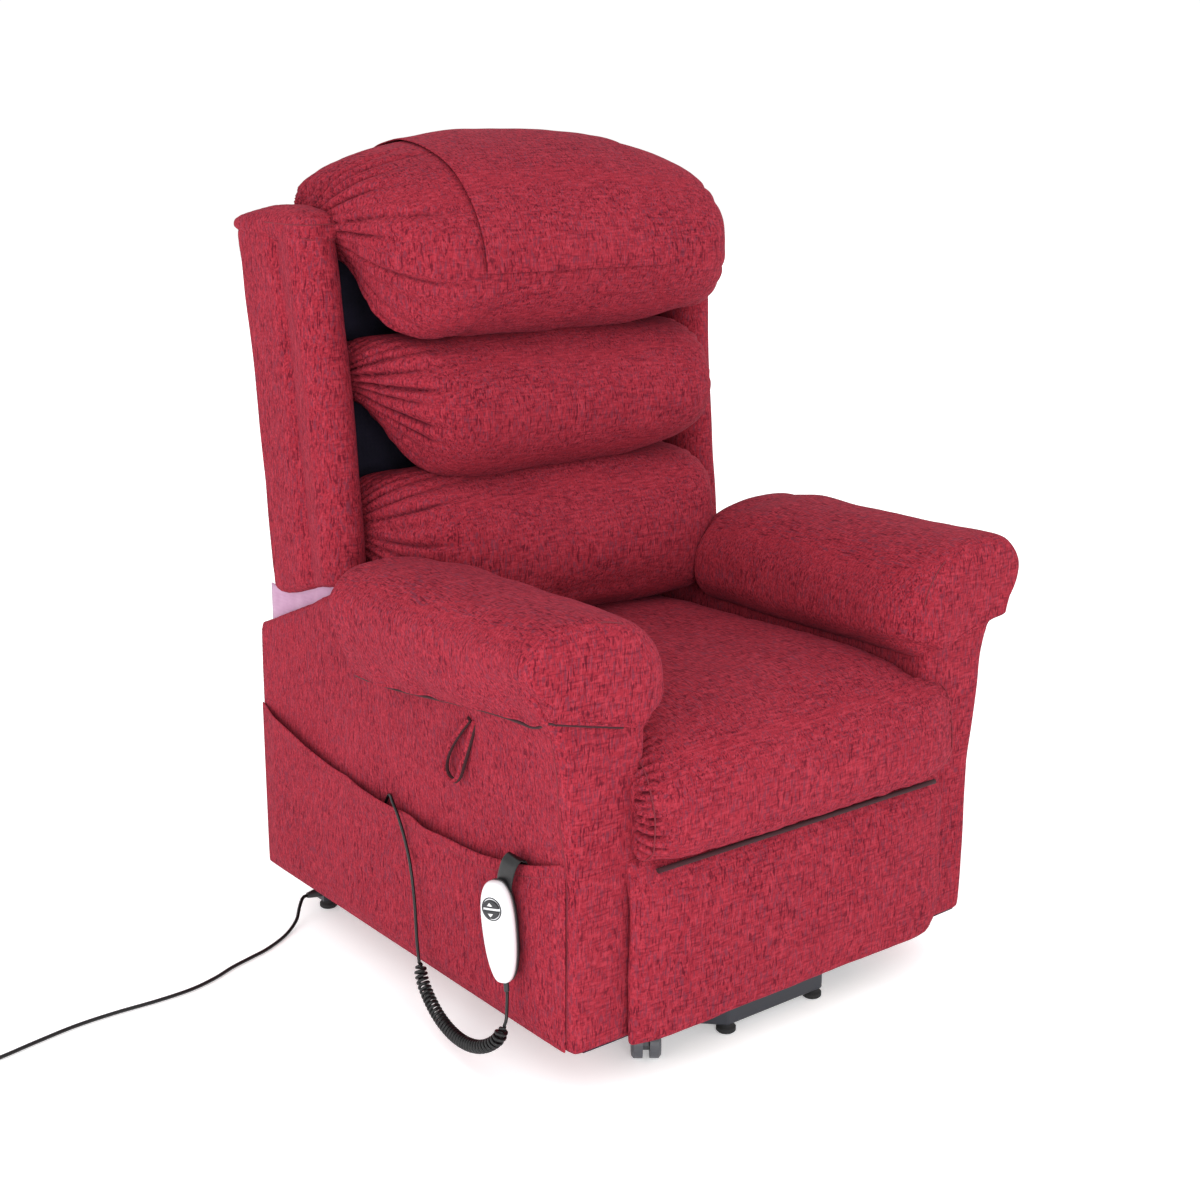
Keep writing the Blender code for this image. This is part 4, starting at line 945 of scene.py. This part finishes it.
def arm_cover(side):
    """Loose arm cap: cloth over the roll with a flat D-shaped front, open below; a dark strip just under its
    outer and front hem paints the hem's shadow.
    """
    name = side_name(side)
    rear, count = 0.040, 84
    rows = []
    # front face, from its hem line upwards, round the edge, then the sleeve towards the rear
    for y, share in ((-0.4085, 0.0), (-0.4105, 0.12), (-0.4120, 0.3), (-0.4125, 0.5), (-0.4120, 0.7),
                     (-0.4105, 0.82), (-0.4090, 0.895), (-0.4070, 0.94), (-0.4035, 0.968),
                     (-0.3990, 0.985), (-0.3930, 0.996)):
        section = cover_section(max(y, -0.4065), count)
        (x0, z0), (x1, z1) = section[0], section[-1]
        row = []
        for i, (x, z) in enumerate(section):
            across = i / (count - 1)
            row.append((mix(mix(x0, x1, across), x, share), y, mix(mix(z0, z1, across), z, share)))
        rows.append(row)
    for k in range(63):
        y = mix(-0.387, rear, k / 62)
        drop = 0.125 * smoothstep(-0.05, rear, y)
        rows.append([(x, y, z - drop * max(z - 0.55, 0.0)) for x, z in cover_section(y, count)])
    rows = [[(side * x, y, z) for x, y, z in row] for row in rows]
    mesh = skin(f"arm_cap_{name}", rows, closed=False, ends=False)
    shape = bmesh.new()
    shape.from_mesh(mesh)
    bmesh.ops.remove_doubles(shape, verts=shape.verts, dist=0.0004)
    bmesh.ops.recalc_face_normals(shape, faces=shape.faces)
    middle = at(side * ROLL_MIDDLE.x, -0.2, ROLL_MIDDLE.z)
    highest = max(shape.faces, key=lambda face: face.calc_center_median().z)
    if highest.normal.dot(highest.calc_center_median() - middle) < 0:
        bmesh.ops.reverse_faces(shape, faces=shape.faces)
    shape.to_mesh(mesh)
    shape.free()
    item = piece(f"arm_cap_{name}", mesh, FABRIC)

    def folds(p, normal):
        amount = softness(p, 85 + side, 0.08, 0.0026)
        around = math.atan2(p.z - 0.55, p.x * side - 0.33) * 0.10
        front = gathers(p.y + 0.400, around, 87, 0.045, 0.0022, 0.022)
        hem = smoothstep(0.56, 0.50, p.z) * 0.0030 * wave(p.y / 0.045, 89 + side)
        return amount + (front if p.y > -0.401 else 0.0) + (hem if p.x * side > 0.35 else 0.0)

    displaced(item, folds)
    thickened(item, 0.0024, 1.0)
    subdivided(item)
    dress(item, "chassis", f"arm_cover_{name}")
    hem = [row[-1] for row in rows[::-2]] + rows[0][-2:1:-6] + [row[0] for row in rows[::3]]
    tube(f"arm_cap_hem_{name}", curve_points(on_surface(item, hem, 0.0), 0.006), 0.0026, FABRIC, "chassis")
    # painted shadow: a dark strip set just inside and below the hem, where the hem shades the arm
    outer = [row[-1] for row in rows[::-2]] + rows[0][-2:12:-6]
    hem_shadow_line = [(x - side * 0.0022, y + (0.002 if y < -0.4 else 0.0), z - 0.0036) for x, y, z in outer]
    tube(f"arm_cap_painted_shadow_{name}", curve_points(hem_shadow_line, 0.006), 0.0022, PAINTED_SHADOW, "chassis", 6)
    edge = [row[-1] for row in rows[-1:0:-3]]
    stitch = [(x - side * 0.0005, y, z + 0.014) for x, y, z in edge]
    thread(f"arm_cap_stitch_{name}", on_surface(item, stitch, 0.0004), "chassis", 0.0010)
    seam = on_surface(item, rows[8][2:-2:2], 0.0006)
    thread(f"arm_cover_seam_{name}", seam, "chassis", 0.0014)
    return item


def outer_hem(y):
    """Height of the loose cover's outer hem."""
    return 0.477 + 0.034 * smoothstep(0.04, -0.34, y) + 0.016 * smoothstep(-0.36, -0.405, y)


def side_pocket():
    """Cloth pocket along the right side: a sagging hemmed top edge and a soft, slightly full bag."""
    low_y, high_y, low_z = -0.3845, 0.394, 0.067
    flush, full = -0.3712, -0.3782
    sagging = ((low_y, 0.328), (-0.300, 0.303), (-0.190, 0.286), (-0.040, 0.286), (0.170, 0.296),
               (0.300, 0.318), (high_y, 0.336))
    edge = curve_points([(0.0, y, z) for y, z in sagging], 0.007)
    rows = 34
    rings = []
    for p in edge:
        ring = []
        for k in range(rows + 1):
            share = k / rows
            z = mix(low_z, p.z, share)
            inside = min(1.0, min(p.y - low_y, high_y - p.y) / 0.05)
            inside *= min(1.0, share / 0.12)
            fold = 0.0045 * noise.noise(Vector((p.y / 0.13, z / 0.09, 4.2)))
            phase = (p.y * 0.9 + z * 1.3) / 0.021 + 2 * wave(p.y / 0.10, 91)
            crease = 0.0034 * math.sin(phase) * (share**1.5)
            crease *= smoothstep(0.26, 0.05, abs(p.y + 0.02))
            lip = 0.0018 * smoothstep(0.93, 0.97, share)
            x = mix(flush, full, inside) - (0.0028 + fold + crease) * inside - lip * inside
            ring.append((x, p.y, z))
        rings.append(ring)
    item = piece("side_pocket_cloth", skin("side_pocket_cloth", rings, closed=False, ends=False), FABRIC)
    thickened(item, 0.0032, 0.0)
    subdivided(item)
    dress(item, "chassis", "side_pocket")
    hem = [(-0.384, p.y, p.z - 0.017) for p in edge[2:-2:3]]
    thread("side_pocket_stitch", on_surface(item, hem, 0.0002), "chassis", 0.0008)
    line = [(-0.384, high_y - 0.004, z) for z in np.linspace(low_z + 0.004, 0.325, 12)]
    thread("side_pocket_seam_rear", on_surface(item, line, 0.0002), "chassis", 0.0010)
    return item


def pull_loop():
    """Fabric loop hanging from under the arm cover, with a dark tube behind it that paints a shadow line
    along its edges.
    """
    path = [(-0.3762, -0.190, 0.474), (-0.3764, -0.176, 0.442), (-0.3768, -0.162, 0.410),
            (-0.3772, -0.151, 0.386), (-0.3776, -0.139, 0.376), (-0.3782, -0.125, 0.380),
            (-0.3790, -0.122, 0.397), (-0.3800, -0.137, 0.424), (-0.3806, -0.160, 0.451),
            (-0.3808, -0.182, 0.474)]
    out, forward = 0.0125, 0.026
    line = curve_points([(x - out, y - forward, z) for x, y, z in path], 0.004)
    # painted shadow: a dark tube just behind the strap shows as a shade outline
    tube("pull_loop_painted_shadow", [p + Vector((0.0022, 0, 0)) for p in line], 0.0040, PAINTED_SHADOW, "chassis",
         8)
    rings = []
    for i, p in enumerate(line):
        before, after = line[max(i - 1, 0)], line[min(i + 1, len(line) - 1)]
        ahead = (after - before).normalized()
        turn = math.radians(20) * math.sin(i / len(line) * 2 * math.pi)
        flat = Vector((1, 0, 0)) * math.cos(turn) + ahead.cross(Vector((1, 0, 0))) * math.sin(turn)
        thick = ahead.cross(flat).normalized()
        ring = []
        for a in (2 * math.pi * k / 16 for k in range(16)):
            pinch = 1 - 0.25 * math.cos(a) ** 2
            ring.append(tuple(p + flat * 0.0042 * math.cos(a) + thick * 0.0029 * math.sin(a) * pinch))
        rings.append(ring)
    item = piece("pull_loop_cloth", skin("pull_loop_cloth", rings), FABRIC)
    subdivided(item)
    dress(item, "chassis", "pull_loop")
    return item


def calico_strip(side):
    """Lilac calico facing between the arm's rear deck and the wing, with a stitched edge in the same calico.
    """
    name = side_name(side)
    rings = []
    for k in range(40):
        y = mix(0.135, 0.382, k / 39)
        deck = rear_deck(y) - 0.012
        top = max(mix(0.562, 0.520, min(max((y - 0.188) / 0.15, 0.0), 1.0)) + 0.006, deck + 0.004)
        x = side * (0.352 + 0.0015 * wave(y / 0.05, 95))
        rings.append([(x, y, mix(deck - 0.004, top, s / 8)) for s in range(9)])
    item = piece(f"calico_strip_{name}", skin(f"calico_strip_{name}", rings, closed=False, ends=False),
                 CALICO)
    thickened(item, 0.0012, 0.0)
    dress(item, "chassis")
    line = [(side * 0.3535, ring[6][1], ring[6][2]) for ring in rings[::3]]
    thread(f"calico_stitch_{name}", on_surface(item, line, 0.0001), "chassis", 0.0007, CALICO)
    return item


def rear_panels():
    """Lower rear panel, and the lining flap that closes the gap below the reclining back."""
    corners = [(-0.250, 0.072), (0.0, 0.070), (0.250, 0.072), (0.253, 0.160), (0.250, 0.247),
               (0.0, 0.249), (-0.250, 0.247), (-0.253, 0.160)]
    item = slab("rear_lower_cloth", corners, lambda x, z: 0.3855, 0.011, FABRIC, crown=0.002)
    remeshed(item, 0.006)
    displaced(item, lambda p, n: softness(p, 33, 0.12, 0.0018))
    subdivided(item)
    dress(item, "chassis", "rear_lower_panel")
    rings = []
    for k in range(49):
        x = mix(-0.224, 0.224, k / 48)
        ring = []
        for s in range(25):
            share = s / 24
            z = mix(0.236, 0.470, share)
            y = mix(0.383, BOARD_Y + LEAN * (0.470 - BOARD_Z) + 0.058, share**1.4)
            y += 0.006 * math.sin(math.pi * share) * (1 + wave(x / 0.06, 97)) - 0.001
            ring.append((x, y, z))
        rings.append(ring)
    flap = piece("rear_lining_flap", skin("rear_lining_flap", rings, closed=False, ends=False), LINING)
    thickened(flap, 0.0010, 0.0)
    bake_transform(flap)
    return flap


# ---- hand control -------------------------------------------------------------------------------
HANDSET_X, HANDSET_Y, HANDSET_Z = -0.3840, -0.287, 0.2125
HANDSET_TILT, HANDSET_TURN = math.radians(9), math.radians(17)
HANDSET_LENGTH, HANDSET_WIDTH, HANDSET_OUT = 0.136, 0.050, 0.0075
SPLIT_X = HANDSET_X - 0.011
FACE_X = SPLIT_X - 0.016
PAD_ALONG, PAD_RADIUS = -0.034, 0.0130


def on_handset(along, across, x):
    """A place on the hand control: along it, across it to the front, x as if it faced straight out."""
    down = Vector((0, -math.sin(HANDSET_TILT), -math.cos(HANDSET_TILT)))
    out = Vector((-math.cos(HANDSET_TURN), -math.sin(HANDSET_TURN), 0))
    front = Vector((math.sin(HANDSET_TURN), -math.cos(HANDSET_TURN), 0))
    front.z = -front.dot(down) / down.z
    middle = Vector((HANDSET_X - HANDSET_OUT, HANDSET_Y, HANDSET_Z))
    return middle + down * along + front.normalized() * across + out * (HANDSET_X - x)


def handset_shell(name, layers, material):
    count = 72
    rings = []
    for x, inset in layers:
        half = HANDSET_LENGTH / 2 - inset
        ring = []
        for k in range(count):
            t = 2 * math.pi * k / count
            along = half * math.copysign(abs(math.cos(t)) ** 0.62, math.cos(t))
            width = (HANDSET_WIDTH / 2 - inset) * (1 - 0.19 * (along / half + 0.3) ** 2)
            across = width * math.copysign(abs(math.sin(t)) ** 0.66, math.sin(t))
            ring.append(tuple(on_handset(along, across, x)))
        rings.append(ring)
    return piece(name, skin(name, rings), material, "chassis")


def handset():
    layers = [(SPLIT_X - 0.0006, 0.0002), (SPLIT_X - 0.004, 0.0), (FACE_X + 0.0075, 0.0006),
              (FACE_X + 0.0035, 0.0030), (FACE_X + 0.0012, 0.0070), (FACE_X + 0.0003, 0.0120),
              (FACE_X, 0.0170)]
    front = handset_shell("handset_front", layers, WHITE)
    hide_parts("handset_front_shell")
    layers = [(HANDSET_X, 0.012), (HANDSET_X - 0.0008, 0.006), (HANDSET_X - 0.004, 0.0015),
              (SPLIT_X + 0.003, 0.0), (SPLIT_X + 0.0004, 0.0003)]
    back = handset_shell("handset_back", layers, CHARCOAL)
    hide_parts("handset_back_shell")
    band = handset_shell("handset_gasket", [(SPLIT_X + 0.0006, 0.0012), (SPLIT_X - 0.0008, 0.0012)], CHARCOAL)
    around = PAD_RADIUS + 0.0019
    ring = [on_handset(PAD_ALONG + around * math.cos(a), around * math.sin(a), FACE_X)
            for a in (2 * math.pi * k / 40 for k in range(40))]
    tube("handset_pad_ring", ring, 0.0008, CHARCOAL, "chassis", 8, closed=True)
    for name, turn in (("up", -1), ("down", 1)):
        rings = []
        for lift, inset in ((0.0004, 0.0), (-0.0016, 0.0), (-0.0026, 0.0009), (-0.0030, 0.0026)):
            ring = []
            radius = PAD_RADIUS - inset
            for k in range(25):
                a = math.radians(mix(6, 174, k / 24))
                down = 0.0006 + inset * 0.5 + (radius - 0.0010) * math.sin(a)
                ring.append(tuple(on_handset(PAD_ALONG + turn * down, radius * math.cos(a), FACE_X + lift)))
            rings.append(ring)
        pad = piece(f"handset_pad_{name}", skin(f"handset_pad_{name}", rings), PAD_GREY, f"button_{name}")
        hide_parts(f"button_{name}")
        arrow = []
        for along, across in ((0.0094, 0.0), (0.0050, 0.0042), (0.0050, -0.0042)):
            arrow.append(tuple(on_handset(PAD_ALONG + turn * along, across, FACE_X - 0.0031)))
        raised = [tuple(Vector(p) - Vector((0.0003, 0, 0))) for p in arrow]
        piece(f"handset_icon_{name}", skin(f"handset_icon_{name}", [arrow, raised]), ICON, f"button_{name}")
    handset_strap()
    return band


def handset_strap():
    """Glossy strap from the hand control's top over the pocket's hem."""
    path = [(-0.3945, -0.284, 0.262), (-0.3958, -0.290, 0.284), (-0.3940, -0.296, 0.303),
            (-0.3885, -0.300, 0.3125), (-0.3815, -0.301, 0.3110), (-0.3770, -0.301, 0.2985),
            (-0.3762, -0.300, 0.280)]
    line = curve_points(path, 0.002)
    rings = []
    for i, p in enumerate(line):
        ahead = (line[min(i + 1, len(line) - 1)] - line[max(i - 1, 0)]).normalized()
        wide = Vector((0, -1, 0))
        wide = (wide - ahead * wide.dot(ahead)).normalized()
        thick = ahead.cross(wide)
        ring = []
        for k in range(28):
            a = 2 * math.pi * k / 28
            c, d = math.cos(a), math.sin(a)
            ring.append(tuple(p + wide * 0.0155 * math.copysign(abs(c) ** 0.5, c)
                              + thick * 0.0011 * math.copysign(abs(d) ** 0.6, d)))
        rings.append(ring)
    item = piece("handset_strap_over", skin("handset_strap_over", rings), CABLE, "chassis")
    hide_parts("handset_clip")
    return item


# ---- cords --------------------------------------------------------------------------------------
MAINS_ROUTE = [
    (-0.3502, 0.3160, 0.0285), (-0.3590, 0.3140, 0.0275), (-0.3720, 0.3020, 0.0190),
    (-0.3880, 0.2840, 0.0085), (-0.4200, 0.2590, 0.0032), (-0.4640, 0.2340, 0.0031),
    (-0.5000, 0.2220, 0.0031), (-0.5350, 0.2110, 0.0031), (-0.5720, 0.1950, 0.0031),
    (-0.6150, 0.1840, 0.0031), (-0.6700, 0.1820, 0.0031), (-0.7300, 0.1850, 0.0031),
    (-0.7900, 0.1830, 0.0031), (-0.8500, 0.1730, 0.0031), (-0.9000, 0.1630, 0.0031),
    (-0.9450, 0.1575, 0.0031),
]
UPPER_ROUTE = [
    (-0.3742, 0.0420, 0.2640), (-0.3742, 0.0300, 0.2830), (-0.3768, 0.0190, 0.2955),
    (-0.3815, 0.0060, 0.3005), (-0.3865, -0.0080, 0.2960), (-0.3890, -0.0250, 0.2810),
    (-0.3900, -0.0430, 0.2520), (-0.3930, -0.0600, 0.2200), (-0.3970, -0.0750, 0.1750),
    (-0.4010, -0.0850, 0.1250), (-0.4030, -0.0920, 0.0950),
]
CURL_ROUTE = [
    (-0.4030, -0.0925, 0.0925), (-0.4060, -0.1080, 0.0640), (-0.4130, -0.1480, 0.0420),
    (-0.4190, -0.1930, 0.0330), (-0.4240, -0.2380, 0.0365), (-0.4260, -0.2780, 0.0500),
    (-0.4220, -0.3060, 0.0710), (-0.4150, -0.3130, 0.0930),
]
COIL_CENTRE = (-0.990, 0.118)
COIL_RADII = (0.0385, 0.0330, 0.0275)
COIL_HEIGHTS = (0.0031, 0.0088, 0.0145)
MAINS_DIAMETER, HANDSET_DIAMETER = 0.0055, 0.0045
CURL_RADIUS, CURL_TURNS = 0.00725, 40


def coil_points():
    """Three layers of three turns: inwards, outwards, inwards, a diameter apart."""
    cx, cy = COIL_CENTRE
    points = []
    start = math.pi / 2
    total = 0.0
    for layer, height in enumerate(COIL_HEIGHTS):
        radii = COIL_RADII if layer % 2 == 0 else COIL_RADII[::-1]
        for turn in range(3):
            after = radii[min(turn + 1, 2)]
            rise = COIL_HEIGHTS[min(layer + 1, 2)] if turn == 2 else height
            for k in range(24):
                share = smoothstep(0.0, 1.0, k / 24) if turn < 2 else 0.0
                r = mix(radii[turn], after, share)
                z = mix(height, rise, smoothstep(0.6, 1.0, k / 24))
                a = start + 2 * math.pi * (total + k / 24)
                points.append(Vector((cx + r * math.cos(a), cy + r * math.sin(a), z)))
            total += 1
    for k in range(7):
        a = start + math.radians(15 * k)
        z = mix(COIL_HEIGHTS[-1], 0.0203, smoothstep(0, 6, k))
        points.append(Vector((cx + COIL_RADII[-1] * math.cos(a), cy + COIL_RADII[-1] * math.sin(a), z)))
    return points


def curve_piece(name, points, radius, material, body):
    data = bpy.data.curves.new(name, "CURVE")
    data.dimensions = "3D"
    data.bevel_depth = radius
    data.bevel_resolution = 4
    data.use_fill_caps = True
    spline = data.splines.new("POLY")
    spline.points.add(len(points) - 1)
    for target, p in zip(spline.points, points):
        target.co = (*at(*p), 1.0)
    item = bpy.data.objects.new(name, data)
    bpy.context.scene.collection.objects.link(item)
    data.materials.append(material)
    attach(item, body)
    return item


def without_doubles(points, least=0.0004):
    out = [Vector(points[0])]
    for p in points[1:-1]:
        if (Vector(p) - out[-1]).length > least:
            out.append(Vector(p))
    if (Vector(points[-1]) - out[-1]).length < least:
        out.pop()
    return out + [Vector(points[-1])]


def mains_cord():
    coil = coil_points()
    cx, cy = COIL_CENTRE
    plug_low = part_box("mains_plug")[0]
    plug_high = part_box("mains_plug")[1]
    entry = Vector(((plug_low[0] + plug_high[0]) / 2, plug_high[1] - SHIFT + 0.0008, 0.0105))
    tail = [coil[-2], coil[-1], Vector((cx - 0.0275, cy - 0.012, 0.0212)),
            Vector((cx - 0.0235, cy - 0.0260, 0.0214)), Vector((cx - 0.0130, cy - 0.0390, 0.0208)),
            Vector((cx - 0.003, cy - 0.0475, 0.0165)), entry]
    on_floor = curve_points(MAINS_ROUTE + [tuple(coil[0])], 0.006)
    route = without_doubles(on_floor + coil + curve_points(tail, 0.004)[2:])
    item = curve_piece("mains_cord_full", route, MAINS_DIAMETER / 2, CABLE, "base")
    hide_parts("mains_cord", "mains_coil")
    plug = mains_plug()
    tie = tie_band()
    return item


def tie_band():
    """Strap that holds the coil."""
    cx, cy = COIL_CENTRE
    ring = [(0.0236, 0.0006), (0.0424, 0.0006), (0.0430, 0.0095), (0.0424, 0.0186), (0.0236, 0.0186),
            (0.0230, 0.0095)]
    loop = curve_points([(x, 0.0, z) for x, z in ring], 0.003, closed=True)
    rings = []
    for offset, grow in ((-0.0045, 0.0), (-0.0035, 0.0007), (0.0035, 0.0007), (0.0045, 0.0)):
        row = []
        for p in loop:
            d = Vector((p.x - 0.033, 0.0, p.z - 0.0095))
            q = p + d.normalized() * grow
            row.append((cx + q.x, cy + offset, max(q.z, 0.0002)))
        rings.append(row)
    return piece("mains_tie", skin("mains_tie", rings, ends=False), RUBBER, "base")


def mains_plug():
    """Generic three-pin plug: rounded body and bright pins."""
    low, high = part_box("mains_plug")
    cx, cy = (low[0] + high[0]) / 2, (low[1] + high[1]) / 2 - SHIFT
    half = (high[0] - low[0]) / 2
    rings = []
    for z, share in ((0.0004, 0.86), (0.0012, 0.95), (0.0040, 1.0), (0.0140, 1.0), (0.0180, 0.97),
                     (0.0198, 0.90)):
        ring = []
        for k in range(64):
            a = 2 * math.pi * k / 64
            c, s = math.cos(a), math.sin(a)
            r = half * share / (abs(c) ** 5 + abs(s) ** 5) ** 0.2
            ring.append((cx + r * c, cy + r * s * (1.0 if s > 0 else 0.96), z))
        rings.append(ring)
    item = piece("mains_plug_body", skin("mains_plug_body", rings), CHARCOAL, "base")
    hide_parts("mains_plug")
    for tag, dx, dy, wide, long in (("earth", 0, 0.011, 0.002, 0.004),
                                    ("line", -0.011, -0.008, 0.0032, 0.002),
                                    ("neutral", 0.011, -0.008, 0.0032, 0.002)):
        rows = []
        for z, share in ((0.0190, 1.0), (0.0362, 1.0), (0.0375, 0.75)):
            rows.append([(cx + dx + wide * share * a, cy + dy + long * share * b, z)
                         for a, b in ((-1, -1), (1, -1), (1, 1), (-1, 1))])
        pin = piece(f"mains_plug_pin_{tag}", skin(f"mains_plug_pin_{tag}", rows), BRASS, "base")
        pin.data.polygons.foreach_set("use_smooth", [False] * len(pin.data.polygons))
        pin.parent = item
        pin.matrix_parent_inverse = Matrix.Identity(4)
    return item


def handset_cord():
    """Straight lead out of the pocket, the curly stretch as a helix, and the lead into the hand control."""
    upper = curve_points(UPPER_ROUTE, 0.005)
    axis = curve_points(CURL_ROUTE, 0.0008)
    helix = []
    across = None
    count = CURL_TURNS * 16
    for k in range(count + 1):
        place = k / count * (len(axis) - 1)
        i = min(int(place), len(axis) - 2)
        p = axis[i].lerp(axis[i + 1], place - i)
        ahead = (axis[i + 1] - axis[i]).normalized()
        if across is None:
            across = ahead.orthogonal().normalized()
        across = (across - ahead * across.dot(ahead)).normalized()
        other = ahead.cross(across)
        a = 2 * math.pi * k / 16
        r = CURL_RADIUS * smoothstep(0.0, 1.0, min(k, count - k) / 32)
        helix.append(p + (across * math.cos(a) + other * math.sin(a)) * r)
    end = on_handset(HANDSET_LENGTH / 2 + 0.0006, 0.0, HANDSET_X - 0.013)
    last = helix[-1]
    tail = curve_points([last, last + Vector((0.002, -0.001, 0.009)), end + Vector((0, -0.002, -0.018)),
                         end], 0.004)
    route = without_doubles(upper[:-1] + helix + tail[1:])
    item = curve_piece("handset_cord_full", route, HANDSET_DIAMETER / 2, CABLE, "chassis")
    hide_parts("handset_cord_upper", "handset_cord_curl", "handset_cord_lower")
    sleeve_line = [end + Vector((0, -0.0012, -0.012)) * t for t in (0.0, 0.35, 0.7, 1.0)]
    tube("handset_strain_relief", curve_points(sleeve_line, 0.0012), 0.0034, CHARCOAL, "chassis",
         14, beads=0.12)
    return item


# ---- CAD nodes that stay, and the set -----------------------------------------------------------
def dress_cad_nodes():
    by_slot = {"steel": STEEL, "bright_steel": BRIGHT_STEEL, "rubber": RUBBER, "timber": WOOD,
               "lining": LINING, "wheel_plastic": WHEEL_GREY, "white_plastic": WHITE,
               "charcoal_plastic": CHARCOAL, "cable": CABLE, "upholstery": FABRIC}
    for entry in frame["record"]["subparts"]:
        node = frame["nodes"].get(entry["node"])
        if node is None:
            continue
        node.data.materials.clear()
        node.data.materials.append(by_slot[entry["material_slot"]])


def floor():
    material = plain("floor_white", linear(250, 250, 251), 0.7, grain=40.0, depth=0.0, variation=0.01,
                     Emission_Color=(1.0, 1.0, 1.0, 1.0), Emission_Strength=0.32)
    mesh = bpy.data.meshes.new("floor")
    size = 12.0
    corners = [(size * a, size * b, -0.0006) for a, b in ((-1, -1), (1, -1), (1, 1), (-1, 1))]
    mesh.from_pydata(corners, [], [(0, 1, 2, 3)])
    item = bpy.data.objects.new("floor", mesh)
    bpy.context.scene.collection.objects.link(item)
    mesh.materials.append(material)


def light(name, place, target, size, power, colour=(1, 1, 1)):
    data = bpy.data.lights.new(name, "AREA")
    data.shape, data.size, data.energy, data.color = "DISK", size, power, colour
    item = bpy.data.objects.new(name, data)
    bpy.context.scene.collection.objects.link(item)
    item.location = at(*place)
    item.rotation_euler = (at(*target) - at(*place)).to_track_quat("-Z", "Y").to_euler()


def studio():
    bpy.context.scene.view_settings.view_transform = "Standard"
    world = bpy.data.worlds.new("studio")
    bpy.context.scene.world = world
    world.use_nodes = True
    # soft white walls all round, a little brighter overhead
    nodes, links = world.node_tree.nodes, world.node_tree.links
    height = nodes.new("ShaderNodeSeparateXYZ")
    strength = nodes.new("ShaderNodeMapRange")
    for key, value in (("From Min", 0.0), ("From Max", 0.8), ("To Min", 1.02), ("To Max", 1.20)):
        strength.inputs[key].default_value = value
    links.new(nodes.new("ShaderNodeTexCoord").outputs["Generated"], height.inputs[0])
    links.new(height.outputs["Z"], strength.inputs["Value"])
    links.new(strength.outputs[0], nodes["Background"].inputs["Strength"])
    nodes["Background"].inputs["Color"].default_value = (1.0, 1.0, 1.0, 1.0)
    middle = (0.0, 0.0, 0.45)
    light("key", (-1.7, -3.2, 1.2), (0.0, 0.0, 0.25), 1.6, 44)
    light("fill", (-3.4, -0.4, 1.2), middle, 2.4, 34)
    light("rim", (2.4, -1.8, 2.0), middle, 2.0, 14)


def camera():
    data = bpy.data.cameras.new("camera")
    data.sensor_width, data.lens = 36.0, 54.335
    item = bpy.data.objects.new("camera", data)
    bpy.context.scene.collection.objects.link(item)
    yaw, pitch, roll = 0.6711, 0.265, 0.0057
    ahead = Vector((math.sin(yaw) * math.cos(pitch), math.cos(yaw) * math.cos(pitch), -math.sin(pitch)))
    right = Vector((math.cos(yaw), -math.sin(yaw), 0.0))
    up = right.cross(ahead)
    right, up = right * math.cos(roll) + up * math.sin(roll), up * math.cos(roll) - right * math.sin(roll)
    turn = Matrix((right, up, -ahead)).transposed()
    item.matrix_world = Matrix.Translation(at(-1.6288, -2.0335, 1.2294)) @ turn.to_4x4()
    bpy.context.scene.camera = item


def chair():
    dress_cad_nodes()
    mains_cord()
    handset_cord()
    handset()
    pillow_top = back_pillows()
    head_cover(pillow_top)
    outside_back()
    rear_panels()
    seat_cushion()
    footrest_pad()
    for side in (-1, 1):
        wing(side)
        arm_body(side)
        arm_roll(side)
        arm_cover(side)
        calico_strip(side)
    side_pocket()
    pull_loop()


camera()
studio()
floor()
chair()
